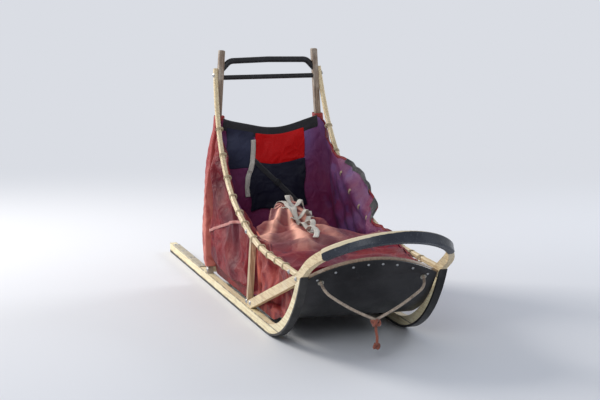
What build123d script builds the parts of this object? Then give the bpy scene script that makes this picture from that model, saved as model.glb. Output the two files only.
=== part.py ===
"""Dog sled: ash runners, rails and bow round a plastic bed that carries an open nylon bag.

Millimetres. +X is forward, +Y the sled's left, +Z up, and Z = 0 is the ground under the runners.
The origin is midway between the runner tails and the front of the bow. Stations named below are
distances ahead of the front stanchions, which most of the sled is measured from.
"""
import os
from math import asin, atan2, cos, degrees, hypot, radians, sin, sqrt, tan

from build123d import *

os.makedirs("parts", exist_ok=True)

# Runners and their soles
TRACK = 540
RUNNER_WIDTH = 30
RUNNER_HEIGHT = 36
SOLE_THICKNESS = 9
TAIL_REACH = 1460
CURL_START = 295
CURL_RADIUS = 560
CURL_ANGLE = 66
TREAD_START = -1390
TREAD_LENGTH = 560
TREAD_THICKNESS = 5
TREAD_RIB_PITCH = 20
TREAD_GROOVE = 4

# Posts, stanchions and rails stand in a plane on each side that leans inwards
LEAN = 3.5
POST_STATION = -690
POST_WIDTH = 24
POST_DEPTH = 28
POST_TOP = 1036
POST_ROUND = 5
STANCHION_WIDTH = 22
STANCHION_DEPTH = 26
STANCHION_ROUND = 4
STANCHION_ABOVE_RAIL = 14
RAIL_HEIGHT = 20
RAIL_THICKNESS = 18
RAIL_CHAMFER = 3
RAIL_LEVEL = 314
RAIL_FLAT_END = 350
RAIL_SWEEP_RADIUS = 1600
RAIL_SWEEP_ANGLE = 22
RAIL_RISE_RADIUS = 750
RAIL_RISE_ANGLE = 50
RAIL_END_RUN = 62

# Brush bow: two ash legs, and a covered hoop that joins them
LEG_THICKNESS = 22
LEG_HEIGHT = 36
LEG_SLOPE = 19.4
LEG_RUN = 740
LEG_BEND_RADIUS = 360
BOW_SLOPE = 31
HOOP_STRAIGHT = 110
LEG_TURN = 28  # degrees of the hoop that the bare legs reach round
COVER_THICKNESS = 30
COVER_HEIGHT = 44
COVER_CHAMFER = 6

# Bed sheet, which curls up at the front between the runners, and what carries it
BED_UNDERSIDE = 78
BED_THICKNESS = 5
BED_CLEARANCE = 5
BED_REAR = -715
BED_CURL_START = 360
BED_CURL_RADIUS = 500
BED_CURL_ANGLE = 60
PANEL_CROWN = 372
PANEL_ARCH_RISE = 75
CROSSPIECE_WIDTH = 44
CROSSPIECE_HEIGHT = 24
CROSSPIECE_SHOULDER = 10  # at each end, short of the side plane
CROSSBAR_DEPTH = 22
CROSSBAR_HEIGHT = 24
CROSSBAR_CHAMFER = 4

# Bars between the posts
BAR_DIAMETER = 26
BAR_CROWN = 990
BAR_SHOULDER_DROP = 4
BAR_END = 944
BAR_CORNER_INSET = 40
BAR_CORNER_RADIUS = 38
BAR_CROWN_RADIUS = 152
LOWER_BAR_DIAMETER = 21
LOWER_BAR_LEVEL = 914

# Bag, sewn from panels: its slack sides stand out between the uprights
BAG_WALL = 5
BAG_SEAT = 0.3
BAG_FLOOR_INSET = 12
BAG_HEM = 8
BAG_BELLY_LEVEL = 150
BAG_CLEARANCE = 3
BAG_REAR = -655
BAG_TOE = 600
BAG_REAR_TOP = 740
BAG_TOE_TOP = 300
BAG_OPENING_END = 60
BAG_REAR_SAG = 34
RAIL_PASS = 17
# Each side from the rear corner forwards: (station, height of the rim, and how far the belly, the cloth beside
# the rail and the rim stand out from the plain section)
BAG_RIGHT = [
    (BAG_REAR, BAG_REAR_TOP, 0, 0, 0),
    (-600, 672, 24, 0, 0),
    (-500, 580, 34, 4, 2),
    (-390, 490, 36, 6, 4),
    (-200, 410, 34, 6, 4),
    (-80, 375, 24, 4, 2),
    (-24, 360, 0, 0, 0),
    (24, 356, 0, 0, 0),
    (280, 335, 0, 0, 0),
    (BED_CURL_START, 326, 0, 0, 0),
    (480, 313, 0, 0, 0),
    (BAG_TOE, BAG_TOE_TOP, 0, 0, 0),
]
BAG_LEFT = [
    (BAG_REAR, BAG_REAR_TOP, 0, 0, 0),
    (-600, 676, 24, 0, 0),
    (-500, 608, 34, 4, 12),
    (-390, 567, 36, 8, 52),
    (-200, 520, 34, 8, 72),
    (-80, 436, 24, 6, 44),
    (-24, 392, 0, 0, 14),
    (24, 372, 0, 0, 8),
    (280, 352, 0, 0, 6),
    (BED_CURL_START, 339, 0, 0, 2),
    (480, 320, 0, 0, 0),
    (BAG_TOE, BAG_TOE_TOP, 0, 0, 0),
]
# Slack rear panel: (height, how far back its right fold, its middle and its left fold hang)
BAG_BACK = [
    (BAG_BELLY_LEVEL, 8, 14, 6),
    (280, 18, 10, 16),
    (400, 10, 20, 9),
    (520, 17, 9, 15),
    (640, 8, 13, 7),
]
# Slack front cover between the rims: (station, heights of its top at a right fold, the middle and a left fold)
BAG_COVER = [
    (BAG_OPENING_END, 370, 350, 374),
    (150, 342, 364, 342),
    (240, 356, 336, 358),
    (330, 331, 347, 333),
    (420, 335, 321, 331),
    (510, 316, 323, 315),
    (BAG_TOE, BAG_TOE_TOP, BAG_TOE_TOP, BAG_TOE_TOP),
]
# Fabric wrapped round each post: (height, depth in X, width in Y, outward shift, rearward shift)
WRAP_SECTIONS = [(100, 66, 58, 4, 8), (735, 44, 36, 1, 2)]
WRAP_CHAMFER = 9
WRAP_CLEARANCE = 0.4

# Foot brake, hinged behind the rear crosspiece
HINGE_STATION = -752
HINGE_LEVEL = 66
HINGE_PIN_DIAMETER = 10
HINGE_CLEARANCE = 0.06
HINGE_SIDE_GAP = 1
HINGE_EYE_DIAMETER = 24
HINGE_SPAN = 190
LUG_THICKNESS = 8
ARM_THICKNESS = 8
ARM_HEIGHT = 22
ARM_LENGTH = 265
ARM_RISE = 72
PEDAL_LENGTH = 400
PEDAL_DIAMETER = 24
PEDAL_WALL = 3
CLAW_SPACING = 250
CLAW_LENGTH = 62
CLAW_SHOULDER = 34
CLAW_WIDTH = 26
CLAW_THICKNESS = 8
CLAW_GROUND_GAP = 3

# Rope bridle that hangs before the front panel
ROPE_DIAMETER = 11
ROPE_SIDES = 8
ROPE_HOLE_INSET = 50
ROPE_HOLE_DEPTH = 46
ROPE_HOLE_CLEARANCE = 1
GROMMET_DIAMETER = 24
GROMMET_THICKNESS = 3
STOPPER_DIAMETER = 24
STOPPER_LENGTH = 16
STOPPER_CHAMFER = 4
STOPPER_SEAT = 0.2
KNOT_DIAMETER = 30
KNOT_HEIGHT = 38
KNOT_CHAMFER = 8
KNOT_SIDES = 16
END_KNOT_DIAMETER = 22
END_KNOT_HEIGHT = 20
END_KNOT_CHAMFER = 5
# Routes of the rope: (station, distance from the middle, height)
BRIDLE_LEG = [(767.05, 200, 294.5), (806.7, 200, 266.6), (808, 150, 228), (811, 72, 180), (812, 0, 148)]
BRIDLE_TAIL = [(812, 0, 132), (813, 1, 105), (818, 6, 76), (814, 3, 48)]

RUNNER_TOP = SOLE_THICKNESS + RUNNER_HEIGHT
BED_TOP = BED_UNDERSIDE + BED_THICKNESS
BED_WIDTH = TRACK - RUNNER_WIDTH - 2 * BED_CLEARANCE
ARCH_RADIUS = ((BED_WIDTH / 2) ** 2 + PANEL_ARCH_RISE ** 2) / (2 * PANEL_ARCH_RISE)
HOOP_RADIUS = TRACK / 2
COVER_REACH = (COVER_THICKNESS * cos(radians(BOW_SLOPE)) / 2
               + (COVER_HEIGHT / 2 - COVER_CHAMFER) * sin(radians(BOW_SLOPE)))
BOW_REACH = LEG_RUN + (HOOP_STRAIGHT + HOOP_RADIUS) * cos(radians(BOW_SLOPE)) + COVER_REACH
STANCHION_X = (TAIL_REACH - BOW_REACH) / 2
CORNER_Z = RUNNER_TOP + LEG_RUN * tan(radians(LEG_SLOPE))
# Longer than the whole sled, for blocks and holes that only have to pass right through
THROUGH = TAIL_REACH + BOW_REACH
SIDES = {"right": -1, "left": 1}


def at(station):
    """X of a distance ahead of the front stanchions."""
    return STANCHION_X + station


PEDAL_X = at(HINGE_STATION) - ARM_LENGTH
PEDAL_Z = HINGE_LEVEL + ARM_RISE


def save(name, shape):
    shape.label = name
    export_step(shape, f"parts/{name}.step")


def largest(shape):
    """The main piece of what a cut leaves."""
    return Part() + max(shape.solids(), key=lambda solid: solid.volume)


def chamfered(width, height, cut):
    section = Rectangle(width, height)
    return chamfer(section.vertices(), cut)


def bar(path, section):
    """Sweep a section along a path in a plane Y = constant: its X lies across the sled."""
    return sweep(Plane(origin=path @ 0, x_dir=(0, 1, 0), z_dir=path % 0) * section, path=path)


def side_view(*edges):
    """Edges drawn as (X, Z) turned up into the plane Y = 0."""
    return Wire([Plane.XZ * edge for edge in edges])


def above_runners():
    return Location((0, 0, RUNNER_TOP + THROUGH / 2)) * Box(THROUGH, THROUGH, THROUGH)


def leaning(shape, side):
    """Turn an upright shape at Y = 0 into the side plane, about the top of that side's runner."""
    foot = Location((0, side * TRACK / 2, RUNNER_TOP))
    return foot * Rot(X=side * LEAN) * Location((0, 0, -RUNNER_TOP)) * shape


def lean_offset(height):
    """Distance of the side plane from the sled's middle at a height."""
    return TRACK / 2 - (height - RUNNER_TOP) * tan(radians(LEAN))


def upright(station, depth, width, top, rounding, side):
    """A square upright from the runner's top, in the leaning side plane, with its top edges rounded."""
    block = Location((at(station), 0, top / 2)) * Box(depth, width, top)
    block = fillet(block.edges().group_by(Axis.Z)[-1], rounding)
    return leaning(block, side) & above_runners()


def post(side):
    return upright(POST_STATION, POST_DEPTH, POST_WIDTH, POST_TOP, POST_ROUND, side)


def stanchion(side):
    top = RAIL_LEVEL + RAIL_HEIGHT / 2 + STANCHION_ABOVE_RAIL
    return upright(0, STANCHION_DEPTH, STANCHION_WIDTH, top, STANCHION_ROUND, side)


def runner_layer(low, high, side):
    """A layer of the runner between two heights above the ground, bent up at the front."""
    middle = (low + high) / 2
    flat = Line((at(-TAIL_REACH), middle), (at(CURL_START), middle))
    curl = JernArc(flat @ 1, (1, 0), CURL_RADIUS - middle, CURL_ANGLE)
    layer = bar(side_view(flat, curl), Rectangle(RUNNER_WIDTH, high - low))
    return Location((0, side * TRACK / 2, 0)) * layer


def tread(side):
    """Ribbed foot tread on a runner's tail."""
    start = at(TREAD_START)
    y = side * TRACK / 2
    middle = Location((start + TREAD_LENGTH / 2, y, RUNNER_TOP + TREAD_THICKNESS / 2))
    pad = middle * Box(TREAD_LENGTH, RUNNER_WIDTH, TREAD_THICKNESS)
    # A groove as deep as half the pad stands at each pitch
    groove = Box(TREAD_GROOVE, RUNNER_WIDTH, TREAD_THICKNESS)
    places = [(start + index * TREAD_RIB_PITCH, y, RUNNER_TOP + TREAD_THICKNESS)
              for index in range(1, int(TREAD_LENGTH / TREAD_RIB_PITCH))]
    return pad - [Location(place) * groove for place in places]


def leg_band(width, height):
    """The straight runs of the bow leg, from the front stanchion's foot up to where the hoop begins."""
    corner = (at(LEG_RUN), CORNER_Z)
    slope = radians(BOW_SLOPE)
    end = (corner[0] + HOOP_STRAIGHT * cos(slope), corner[1] + HOOP_STRAIGHT * sin(slope))
    line = FilletPolyline((at(0), RUNNER_TOP), corner, end, radius=LEG_BEND_RADIUS)
    return bar(Plane.XZ * line, Rectangle(width, height))


def bow_zone(side):
    """Room round the place where the runner's curl and the rail end against the bow leg."""
    return Location((at(LEG_RUN), side * TRACK / 2, CORNER_Z)) * Box(TRACK, TRACK / 2, TRACK / 2)


def bow_plane():
    """Sloping plane of the hoop: its X runs on from the legs."""
    slope = radians(BOW_SLOPE)
    return Plane(origin=(at(LEG_RUN), 0, CORNER_Z), x_dir=(cos(slope), 0, sin(slope)),
                 z_dir=(-sin(slope), 0, cos(slope)))


def hoop_sector(section, start, turn):
    """Part of the hoop, from an angle round it and through a turn, both counted from its right end."""
    first = Plane(origin=(HOOP_STRAIGHT, -HOOP_RADIUS, 0), x_dir=(0, 1, 0), z_dir=(1, 0, 0))
    axis = Axis((HOOP_STRAIGHT, 0, 0), (0, 0, 1))
    return bow_plane() * revolve(first * section, axis, turn).rotate(axis, start)


def bow_cover():
    """Sleeve over the front of the hoop, butted against the bare ends of the legs."""
    section = chamfered(COVER_THICKNESS, COVER_HEIGHT, COVER_CHAMFER)
    return hoop_sector(section, LEG_TURN, 180 - 2 * LEG_TURN)


def leg_end(side):
    """The bent end of a bow leg, as far as the cover."""
    start = 0 if side < 0 else 180 - LEG_TURN
    return hoop_sector(Rectangle(LEG_THICKNESS, LEG_HEIGHT), start, LEG_TURN)


def rail(side):
    """Laminated rail: level at the front, swept up in two arcs, then straight up beside the post."""
    flat = Line((at(LEG_RUN), RAIL_LEVEL), (at(RAIL_FLAT_END), RAIL_LEVEL))
    sweep_up = JernArc(flat @ 1, (-1, 0), RAIL_SWEEP_RADIUS, -RAIL_SWEEP_ANGLE)
    rise = JernArc(sweep_up @ 1, sweep_up % 1, RAIL_RISE_RADIUS, -RAIL_RISE_ANGLE)
    run = Line(rise @ 1, rise @ 1 + (rise % 1) * RAIL_END_RUN)
    outward = (POST_WIDTH + RAIL_THICKNESS) / 2
    band = bar(side_view(flat, sweep_up, rise, run), chamfered(RAIL_THICKNESS, RAIL_HEIGHT, RAIL_CHAMFER))
    return leaning(Location((0, side * outward, 0)) * band, side)


def crosspiece(station, uprights):
    """Beam under the bed between two uprights, let in beside them."""
    length = 2 * (lean_offset(BED_UNDERSIDE) - CROSSPIECE_SHOULDER)
    level = BED_UNDERSIDE - CROSSPIECE_HEIGHT / 2
    beam = Location((at(station), 0, level)) * Box(CROSSPIECE_WIDTH, length, CROSSPIECE_HEIGHT)
    return beam - uprights


def bed_path():
    middle = BED_UNDERSIDE + BED_THICKNESS / 2
    flat = Line((at(BED_REAR), middle), (at(BED_CURL_START), middle))
    curl = JernArc(flat @ 1, (1, 0), BED_CURL_RADIUS, BED_CURL_ANGLE)
    rise = (PANEL_CROWN - (curl @ 1).Y) / sin(radians(BED_CURL_ANGLE))
    top = Line(curl @ 1, curl @ 1 + (curl % 1) * rise)
    return side_view(flat, curl, top)


def panel_plane():
    """Plane of the front panel's top: X to the sled's left, Y up the slope, Z out of its front."""
    slope = radians(BED_CURL_ANGLE)
    return Plane(origin=bed_path() @ 1, x_dir=(0, 1, 0), z_dir=(sin(slope), 0, -cos(slope)))


def rope_hole(side):
    """Plane of a rope hole on the middle of the sheet, Z out of the panel's front."""
    offset = side * (BED_WIDTH / 2 - ROPE_HOLE_INSET)
    arch_drop = ARCH_RADIUS - sqrt(ARCH_RADIUS ** 2 - offset ** 2)
    path = bed_path()
    share = 1 - (arch_drop + ROPE_HOLE_DEPTH) / path.length
    point, along = path @ share, path % share
    return Plane(origin=(point.X, offset, point.Z), x_dir=(0, 1, 0), z_dir=(along.Z, 0, -along.X))


def rope_bore(side):
    return rope_hole(side) * Cylinder(ROPE_DIAMETER / 2 + ROPE_HOLE_CLEARANCE, 2 * STOPPER_DIAMETER)


def bed():
    """The bed's sheet, curled up at the front into a panel with an arched top edge."""
    sheet = bar(bed_path(), Rectangle(BED_WIDTH, BED_THICKNESS))
    top_zone = panel_plane() * Box(2 * BED_WIDTH, 2 * PANEL_ARCH_RISE, CROSSBAR_DEPTH)
    arch = panel_plane() * Location((0, -ARCH_RADIUS, 0)) * Cylinder(ARCH_RADIUS, CROSSBAR_DEPTH)
    return sheet - (top_zone - arch) - [rope_bore(side) for side in SIDES.values()]


def grommet(side):
    """Ring on the panel's front round a rope hole."""
    height = (BED_THICKNESS + GROMMET_THICKNESS) / 2
    ring = Location((0, 0, height)) * Cylinder(GROMMET_DIAMETER / 2, GROMMET_THICKNESS)
    return rope_hole(side) * ring - rope_bore(side)


def front_crossbar():
    """Arched bar behind the panel's top edge, from one bow leg to the other."""
    plane = panel_plane()
    radius = ARCH_RADIUS - CROSSBAR_HEIGHT / 2
    half = degrees(asin(TRACK / 2 / radius))
    arc = CenterArc((0, -ARCH_RADIUS), radius, 90 - half, 2 * half)
    path = plane.offset(-(BED_THICKNESS + CROSSBAR_DEPTH) / 2) * arc
    start = Plane(origin=path @ 0, x_dir=plane.z_dir, z_dir=path % 0)
    beam = sweep(start * chamfered(CROSSBAR_DEPTH, CROSSBAR_HEIGHT, CROSSBAR_CHAMFER), path=path)
    return beam & Box(THROUGH, TRACK - LEG_THICKNESS, THROUGH)


def driving_bow(posts):
    """Top bar between the posts, bent down to them at both ends."""
    half = lean_offset(BAR_END)
    corner = half - BAR_CORNER_INSET
    shoulder = BAR_CROWN - BAR_SHOULDER_DROP
    points = [(-half, BAR_END), (-corner, shoulder), (0, BAR_CROWN), (corner, shoulder), (half, BAR_END)]
    path = FilletPolyline(*[(at(POST_STATION), y, z) for y, z in points],
                          radius=[BAR_CORNER_RADIUS, BAR_CROWN_RADIUS, BAR_CORNER_RADIUS])
    tube = sweep(Plane(origin=path @ 0, z_dir=path % 0) * Circle(BAR_DIAMETER / 2), path=path)
    return largest(tube - posts)


def lower_bar(posts):
    length = 2 * lean_offset(LOWER_BAR_LEVEL)
    middle = Location((at(POST_STATION), 0, LOWER_BAR_LEVEL)) * Rot(X=90)
    return largest(middle * Cylinder(LOWER_BAR_DIAMETER / 2, length) - posts)


def bag_half_width(height):
    """Outer half width of the bag at its belly or above it."""
    return lean_offset(height) - STANCHION_WIDTH / 2 - BAG_CLEARANCE


def bag_prism(inset):
    """The bag's cross-section all along the sled, drawn inwards by a distance on both sides."""
    low = BED_TOP + BAG_SEAT
    half = [(BED_WIDTH / 2 - BAG_FLOOR_INSET - inset, low),
            (bag_half_width(BAG_BELLY_LEVEL) - inset, BAG_BELLY_LEVEL),
            (bag_half_width(POST_TOP) - inset, POST_TOP)]
    mirrored = [(-y, z) for y, z in reversed(half)]
    section = make_face(Polyline(*half, *mirrored, close=True))
    return extrude(Plane.YZ * section, amount=THROUGH, both=True)


def rail_height(station):
    """Height of the rail's middle line over a station."""
    if station >= RAIL_FLAT_END:
        return RAIL_LEVEL
    angle = radians(RAIL_SWEEP_ANGLE)
    back = RAIL_FLAT_END - station
    sweep_back = RAIL_SWEEP_RADIUS * sin(angle)
    if back <= sweep_back:
        return RAIL_LEVEL + RAIL_SWEEP_RADIUS - sqrt(RAIL_SWEEP_RADIUS ** 2 - back ** 2)
    sine = min(0.99, sin(angle) + (back - sweep_back) / RAIL_RISE_RADIUS)
    return (RAIL_LEVEL + RAIL_SWEEP_RADIUS * (1 - cos(angle))
            + RAIL_RISE_RADIUS * (cos(angle) - sqrt(1 - sine ** 2)))


def bag_seat(station):
    """Height of the bag's underside, on the bed and up its curl."""
    low = BED_TOP + BAG_SEAT
    radius = BED_CURL_RADIUS - BED_THICKNESS / 2 - BAG_SEAT
    forward = max(0, station - BED_CURL_START)
    return low + radius - sqrt(radius ** 2 - forward ** 2)


def bag_outline():
    """Side view of the bag: floor on the bed, toe up its curl, and a line from the toe's top to the rear's."""
    curl_radius = BED_CURL_RADIUS - BED_THICKNESS / 2 - BAG_SEAT
    toe_turn = degrees(asin((BAG_TOE - BED_CURL_START) / curl_radius))
    floor = Line((at(BAG_REAR), bag_seat(BAG_REAR)), (at(BED_CURL_START), bag_seat(BED_CURL_START)))
    curl = JernArc(floor @ 1, (1, 0), curl_radius, toe_turn)
    tops = [(at(BAG_TOE), BAG_TOE_TOP), (at(BAG_REAR), BAG_REAR_TOP)]
    return make_face([floor, curl, Polyline(curl @ 1, *tops, floor @ 0)])


def stretch(start, end):
    """Block that holds everything between two stations."""
    middle = Location((at((start + end) / 2), 0, 0))
    return middle * Box(end - start, THROUGH, THROUGH)


def bag_shell():
    """Floor, rear and toe of the bag in one band, as wide as the room between its sides."""
    outer = bag_outline()
    band = extrude(Plane.XZ * (outer - offset(outer, -BAG_WALL)), amount=TRACK, both=True)
    return band & bag_prism(BAG_WALL)


def plain_reach(height):
    """Outer half width of the bag's plain section, from its foot to its rim."""
    low = BED_TOP + BAG_SEAT
    foot = BED_WIDTH / 2 - BAG_FLOOR_INSET
    if height >= BAG_BELLY_LEVEL:
        return bag_half_width(height)
    return foot + (bag_half_width(BAG_BELLY_LEVEL) - foot) * (height - low) / (BAG_BELLY_LEVEL - low)


def side_section(row, side):
    """Section of a side wall at a station, from its foot on the bed up to its rim."""
    station, rim, belly_out, rail_out, rim_out = row
    low = bag_seat(station)
    hem = low + min(BAG_HEM, 0.8 * (BAG_BELLY_LEVEL - low))
    under = min(rail_height(station) - RAIL_PASS, low + 0.72 * (rim - low))
    over = min(rail_height(station) + RAIL_PASS, low + 0.90 * (rim - low))
    middle = BAG_BELLY_LEVEL + 0.45 * (under - BAG_BELLY_LEVEL)
    levels = [(low, 0), (hem, 0), (BAG_BELLY_LEVEL, 0.8 * belly_out), (middle, belly_out), (under, rail_out),
              (over, rail_out), (rim, rim_out)]
    outer = [(side * (plain_reach(height) + out), height) for height, out in levels]
    inner = [(y - side * BAG_WALL, height) for y, height in reversed(outer)]
    return Plane(origin=(at(station), 0, 0), x_dir=(0, 1, 0), z_dir=(1, 0, 0)) * make_face(
        Polyline(*outer, *inner, close=True))


def bag_side(side):
    """One slack side of the bag: it swells between the uprights, and the left rim falls out over the rail."""
    rows = BAG_RIGHT if side < 0 else BAG_LEFT
    return loft([side_section(row, side) for row in rows], ruled=True)


def rim_level(rows, station):
    """Height of a side's rim at a station between two rows of its table."""
    for rear, front in zip(rows, rows[1:]):
        if rear[0] <= station <= front[0]:
            share = (station - rear[0]) / (front[0] - rear[0])
            return rear[1] + share * (front[1] - rear[1])
    return rows[-1][1]


def cover_section(row):
    """Section of the front cover at a station, from the right rim to the left one."""
    station, right_fold, crown, left_fold = row
    right_rim, left_rim = rim_level(BAG_RIGHT, station), rim_level(BAG_LEFT, station)
    tops = [right_rim, right_fold, crown, left_fold, left_rim]
    points = []
    for drop in (0, BAG_WALL):
        edge = [(bag_half_width(height - drop) - BAG_WALL) * share
                for height, share in zip(tops, (-1, -0.5, 0, 0.5, 1))]
        points.append([(y, height - drop) for y, height in zip(edge, tops)])
    return Plane(origin=(at(station), 0, 0), x_dir=(0, 1, 0), z_dir=(1, 0, 0)) * make_face(
        Polyline(*points[0], *reversed(points[1]), close=True))


def back_section(row):
    """Section of the rear panel at a height, from its right edge to its left one."""
    height, right_fold, middle, left_fold = row
    half = plain_reach(height) - BAG_WALL
    outer = [(at(BAG_REAR) - out, half * share)
             for out, share in zip((0, right_fold, middle, left_fold, 0), (-1, -0.5, 0, 0.5, 1))]
    inner = [(x + BAG_WALL, y) for x, y in reversed(outer)]
    return Plane(origin=(0, 0, height)) * make_face(Polyline(*outer, *inner, close=True))


def bag_rear():
    """Slack rear panel, whose top edge sags between the posts."""
    top = BAG_REAR_TOP
    rows = [(BED_TOP + BAG_SEAT, 0, 0, 0), *BAG_BACK, (top, 0, 0, 0)]
    panel = loft([back_section(row) for row in rows], ruled=True)
    half = bag_half_width(top)
    sag = make_face([ThreePointArc((-half, top), (0, top - BAG_REAR_SAG), (half, top)),
                     Polyline((half, top), (half, POST_TOP), (-half, POST_TOP), (-half, top))])
    return panel - extrude(Plane.YZ * sag, amount=THROUGH, both=True)


def bag_floor(shell):
    level = BED_TOP + BAG_SEAT + BAG_WALL / 2
    slab = Location((0, 0, level)) * Box(THROUGH, TRACK, BAG_WALL)
    return shell & slab & stretch(BAG_REAR + BAG_WALL, BED_CURL_START)


def bag_hood(shell):
    """Slack front cover and toe, with the floor that runs up the curl."""
    top = BAG_TOE_TOP - BAG_WALL + 1
    below = Location((0, 0, top / 2)) * Box(THROUGH, TRACK, top)
    toe = (shell & stretch(BED_CURL_START, BAG_TOE)) & below
    return toe + loft([cover_section(row) for row in BAG_COVER], ruled=True)


def post_wrap(side):
    """Bag fabric round a post, fuller towards its foot."""
    rings = []
    for height, depth, width, outward, rearward in WRAP_SECTIONS:
        centre = (at(POST_STATION) - rearward, side * (lean_offset(height) + outward), height)
        rings.append(Plane(origin=centre) * chamfered(depth, width, WRAP_CHAMFER))
    hole = Location((at(POST_STATION), 0, 0)) * Box(
        POST_DEPTH + 2 * WRAP_CLEARANCE, POST_WIDTH + 2 * WRAP_CLEARANCE, THROUGH)
    return loft(rings, ruled=True) - leaning(hole, side)


def pin(diameter, length):
    """A cylinder on the brake's hinge axis."""
    middle = Location((at(HINGE_STATION), 0, HINGE_LEVEL)) * Rot(X=90)
    return middle * Cylinder(diameter / 2, length)


def hinge_lugs():
    """Ears on the rear crosspiece, one on each side of each brake arm, that carry the pin."""
    back = at(POST_STATION) - CROSSPIECE_WIDTH / 2
    reach = back - at(HINGE_STATION)
    spread = (ARM_THICKNESS + LUG_THICKNESS) / 2 + HINGE_SIDE_GAP
    plate = Location((back - reach / 2, 0, HINGE_LEVEL)) * Box(reach, LUG_THICKNESS, CROSSPIECE_HEIGHT)
    lug = plate + pin(HINGE_EYE_DIAMETER, LUG_THICKNESS)
    lugs = [Location((0, arm * HINGE_SPAN / 2 + inner * spread, 0)) * lug for arm in (-1, 1) for inner in (-1, 1)]
    return Part() + lugs - pin(HINGE_PIN_DIAMETER, THROUGH)


def pedal_rod(diameter):
    return Location((PEDAL_X, 0, PEDAL_Z)) * Rot(X=90) * Cylinder(diameter / 2, PEDAL_LENGTH)


def brake_arms():
    """Two flat arms from their eyes on the pin back to the pedal bar."""
    slope = degrees(atan2(ARM_RISE, ARM_LENGTH))
    middle = Location(((at(HINGE_STATION) + PEDAL_X) / 2, 0, (HINGE_LEVEL + PEDAL_Z) / 2)) * Rot(Y=slope)
    arm = middle * Box(hypot(ARM_LENGTH, ARM_RISE), ARM_THICKNESS, ARM_HEIGHT) + pin(HINGE_EYE_DIAMETER, ARM_THICKNESS)
    arms = Part() + [Location((0, y, 0)) * arm for y in (-HINGE_SPAN / 2, HINGE_SPAN / 2)]
    return arms - pin(HINGE_PIN_DIAMETER + 2 * HINGE_CLEARANCE, THROUGH) - pedal_rod(PEDAL_DIAMETER)


def brake_claws():
    """Pointed blades under the pedal bar."""
    half = CLAW_WIDTH / 2
    profile = make_face(Polyline((-half, 0), (half, 0), (half, -CLAW_SHOULDER), (0, -CLAW_LENGTH),
                                 (-half, -CLAW_SHOULDER), close=True))
    places = [Plane(origin=(PEDAL_X, y, PEDAL_Z), x_dir=(1, 0, 0), z_dir=(0, -1, 0))
              for y in (-CLAW_SPACING / 2, CLAW_SPACING / 2)]
    blades = [extrude(place * profile, amount=CLAW_THICKNESS / 2, both=True) for place in places]
    return Part() + blades - pedal_rod(PEDAL_DIAMETER)


def barrel(diameter, height, cut):
    """A many-sided barrel with both ends chamfered, for a knot drawn tight."""
    body = extrude(RegularPolygon(diameter / 2, KNOT_SIDES), amount=height / 2, both=True)
    levels = body.edges().group_by(Axis.Z)
    return chamfer(levels[0] + levels[-1], cut)


def rope_stopper(side):
    """Knot behind the panel that keeps the rope from pulling through."""
    depth = BED_THICKNESS / 2 + STOPPER_SEAT + STOPPER_LENGTH / 2
    return rope_hole(side) * Location((0, 0, -depth)) * barrel(STOPPER_DIAMETER, STOPPER_LENGTH, STOPPER_CHAMFER)


def bridle_knot():
    """Knot that gathers the two legs and lets the tail out below."""
    station, across, height = BRIDLE_LEG[-1]
    return Location((at(station), across, height - KNOT_HEIGHT / 4)) * barrel(KNOT_DIAMETER, KNOT_HEIGHT, KNOT_CHAMFER)


def tail_knot():
    """Stopper knot that ends the tail."""
    station, across, height = BRIDLE_TAIL[-1]
    return Location((at(station), across, height)) * barrel(END_KNOT_DIAMETER, END_KNOT_HEIGHT, END_KNOT_CHAMFER)


def rope(route, side):
    """A rope along straight runs joined by arcs as large as the runs allow."""
    points = [Vector(at(station), side * across, height) for station, across, height in route]
    radii = []
    for before, corner, after in zip(points, points[1:], points[2:]):
        arrive, leave = corner - before, after - corner
        turn = radians(arrive.get_angle(leave))
        radii.append(0.45 * min(arrive.length, leave.length) / tan(turn / 2))
    path = FilletPolyline(*points, radius=radii)
    section = RegularPolygon(ROPE_DIAMETER / 2, ROPE_SIDES)
    tube = sweep(Plane(origin=path @ 0, z_dir=path % 0) * section, path=path)
    print("rope length", round(path.length, 1), "radii", [round(radius, 1) for radius in radii],
          "volume over section times length", round(tube.volume / (path.length * section.area), 3))
    return tube


both_posts = [post(side) for side in SIDES.values()]
both_stanchions = [stanchion(side) for side in SIDES.values()]
bed_sheet = bed()
knot = bridle_knot()
crossbar = front_crossbar() - bed_sheet

for (name, side), side_post, side_stanchion in zip(SIDES.items(), both_posts, both_stanchions):
    sideways = Location((0, side * TRACK / 2, 0))
    leg = sideways * leg_band(LEG_THICKNESS, LEG_HEIGHT) + leg_end(side)
    bow_end = sideways * leg_band(2 * RUNNER_WIDTH, LEG_HEIGHT) & bow_zone(side)
    runner = largest(runner_layer(SOLE_THICKNESS, RUNNER_TOP, side) - bow_end)
    crossbar = crossbar - leg - runner
    save(f"runner_{name}", runner)
    save(f"sole_{name}", largest(runner_layer(0, SOLE_THICKNESS, side) - bow_end))
    save(f"tread_{name}", tread(side))
    save(f"post_{name}", side_post)
    save(f"stanchion_{name}", side_stanchion)
    save(f"rail_{name}", largest(rail(side) - bow_end))
    save(f"bow_leg_{name}", largest((leg & above_runners()) - side_stanchion))
    save(f"bag_side_{name}", bag_side(side))
    save(f"post_wrap_{name}", post_wrap(side))
    save(f"grommet_{name}", grommet(side))
    save(f"rope_stopper_{name}", rope_stopper(side))
    save(f"bridle_leg_{name}", largest(rope(BRIDLE_LEG, side) - knot))

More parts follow.
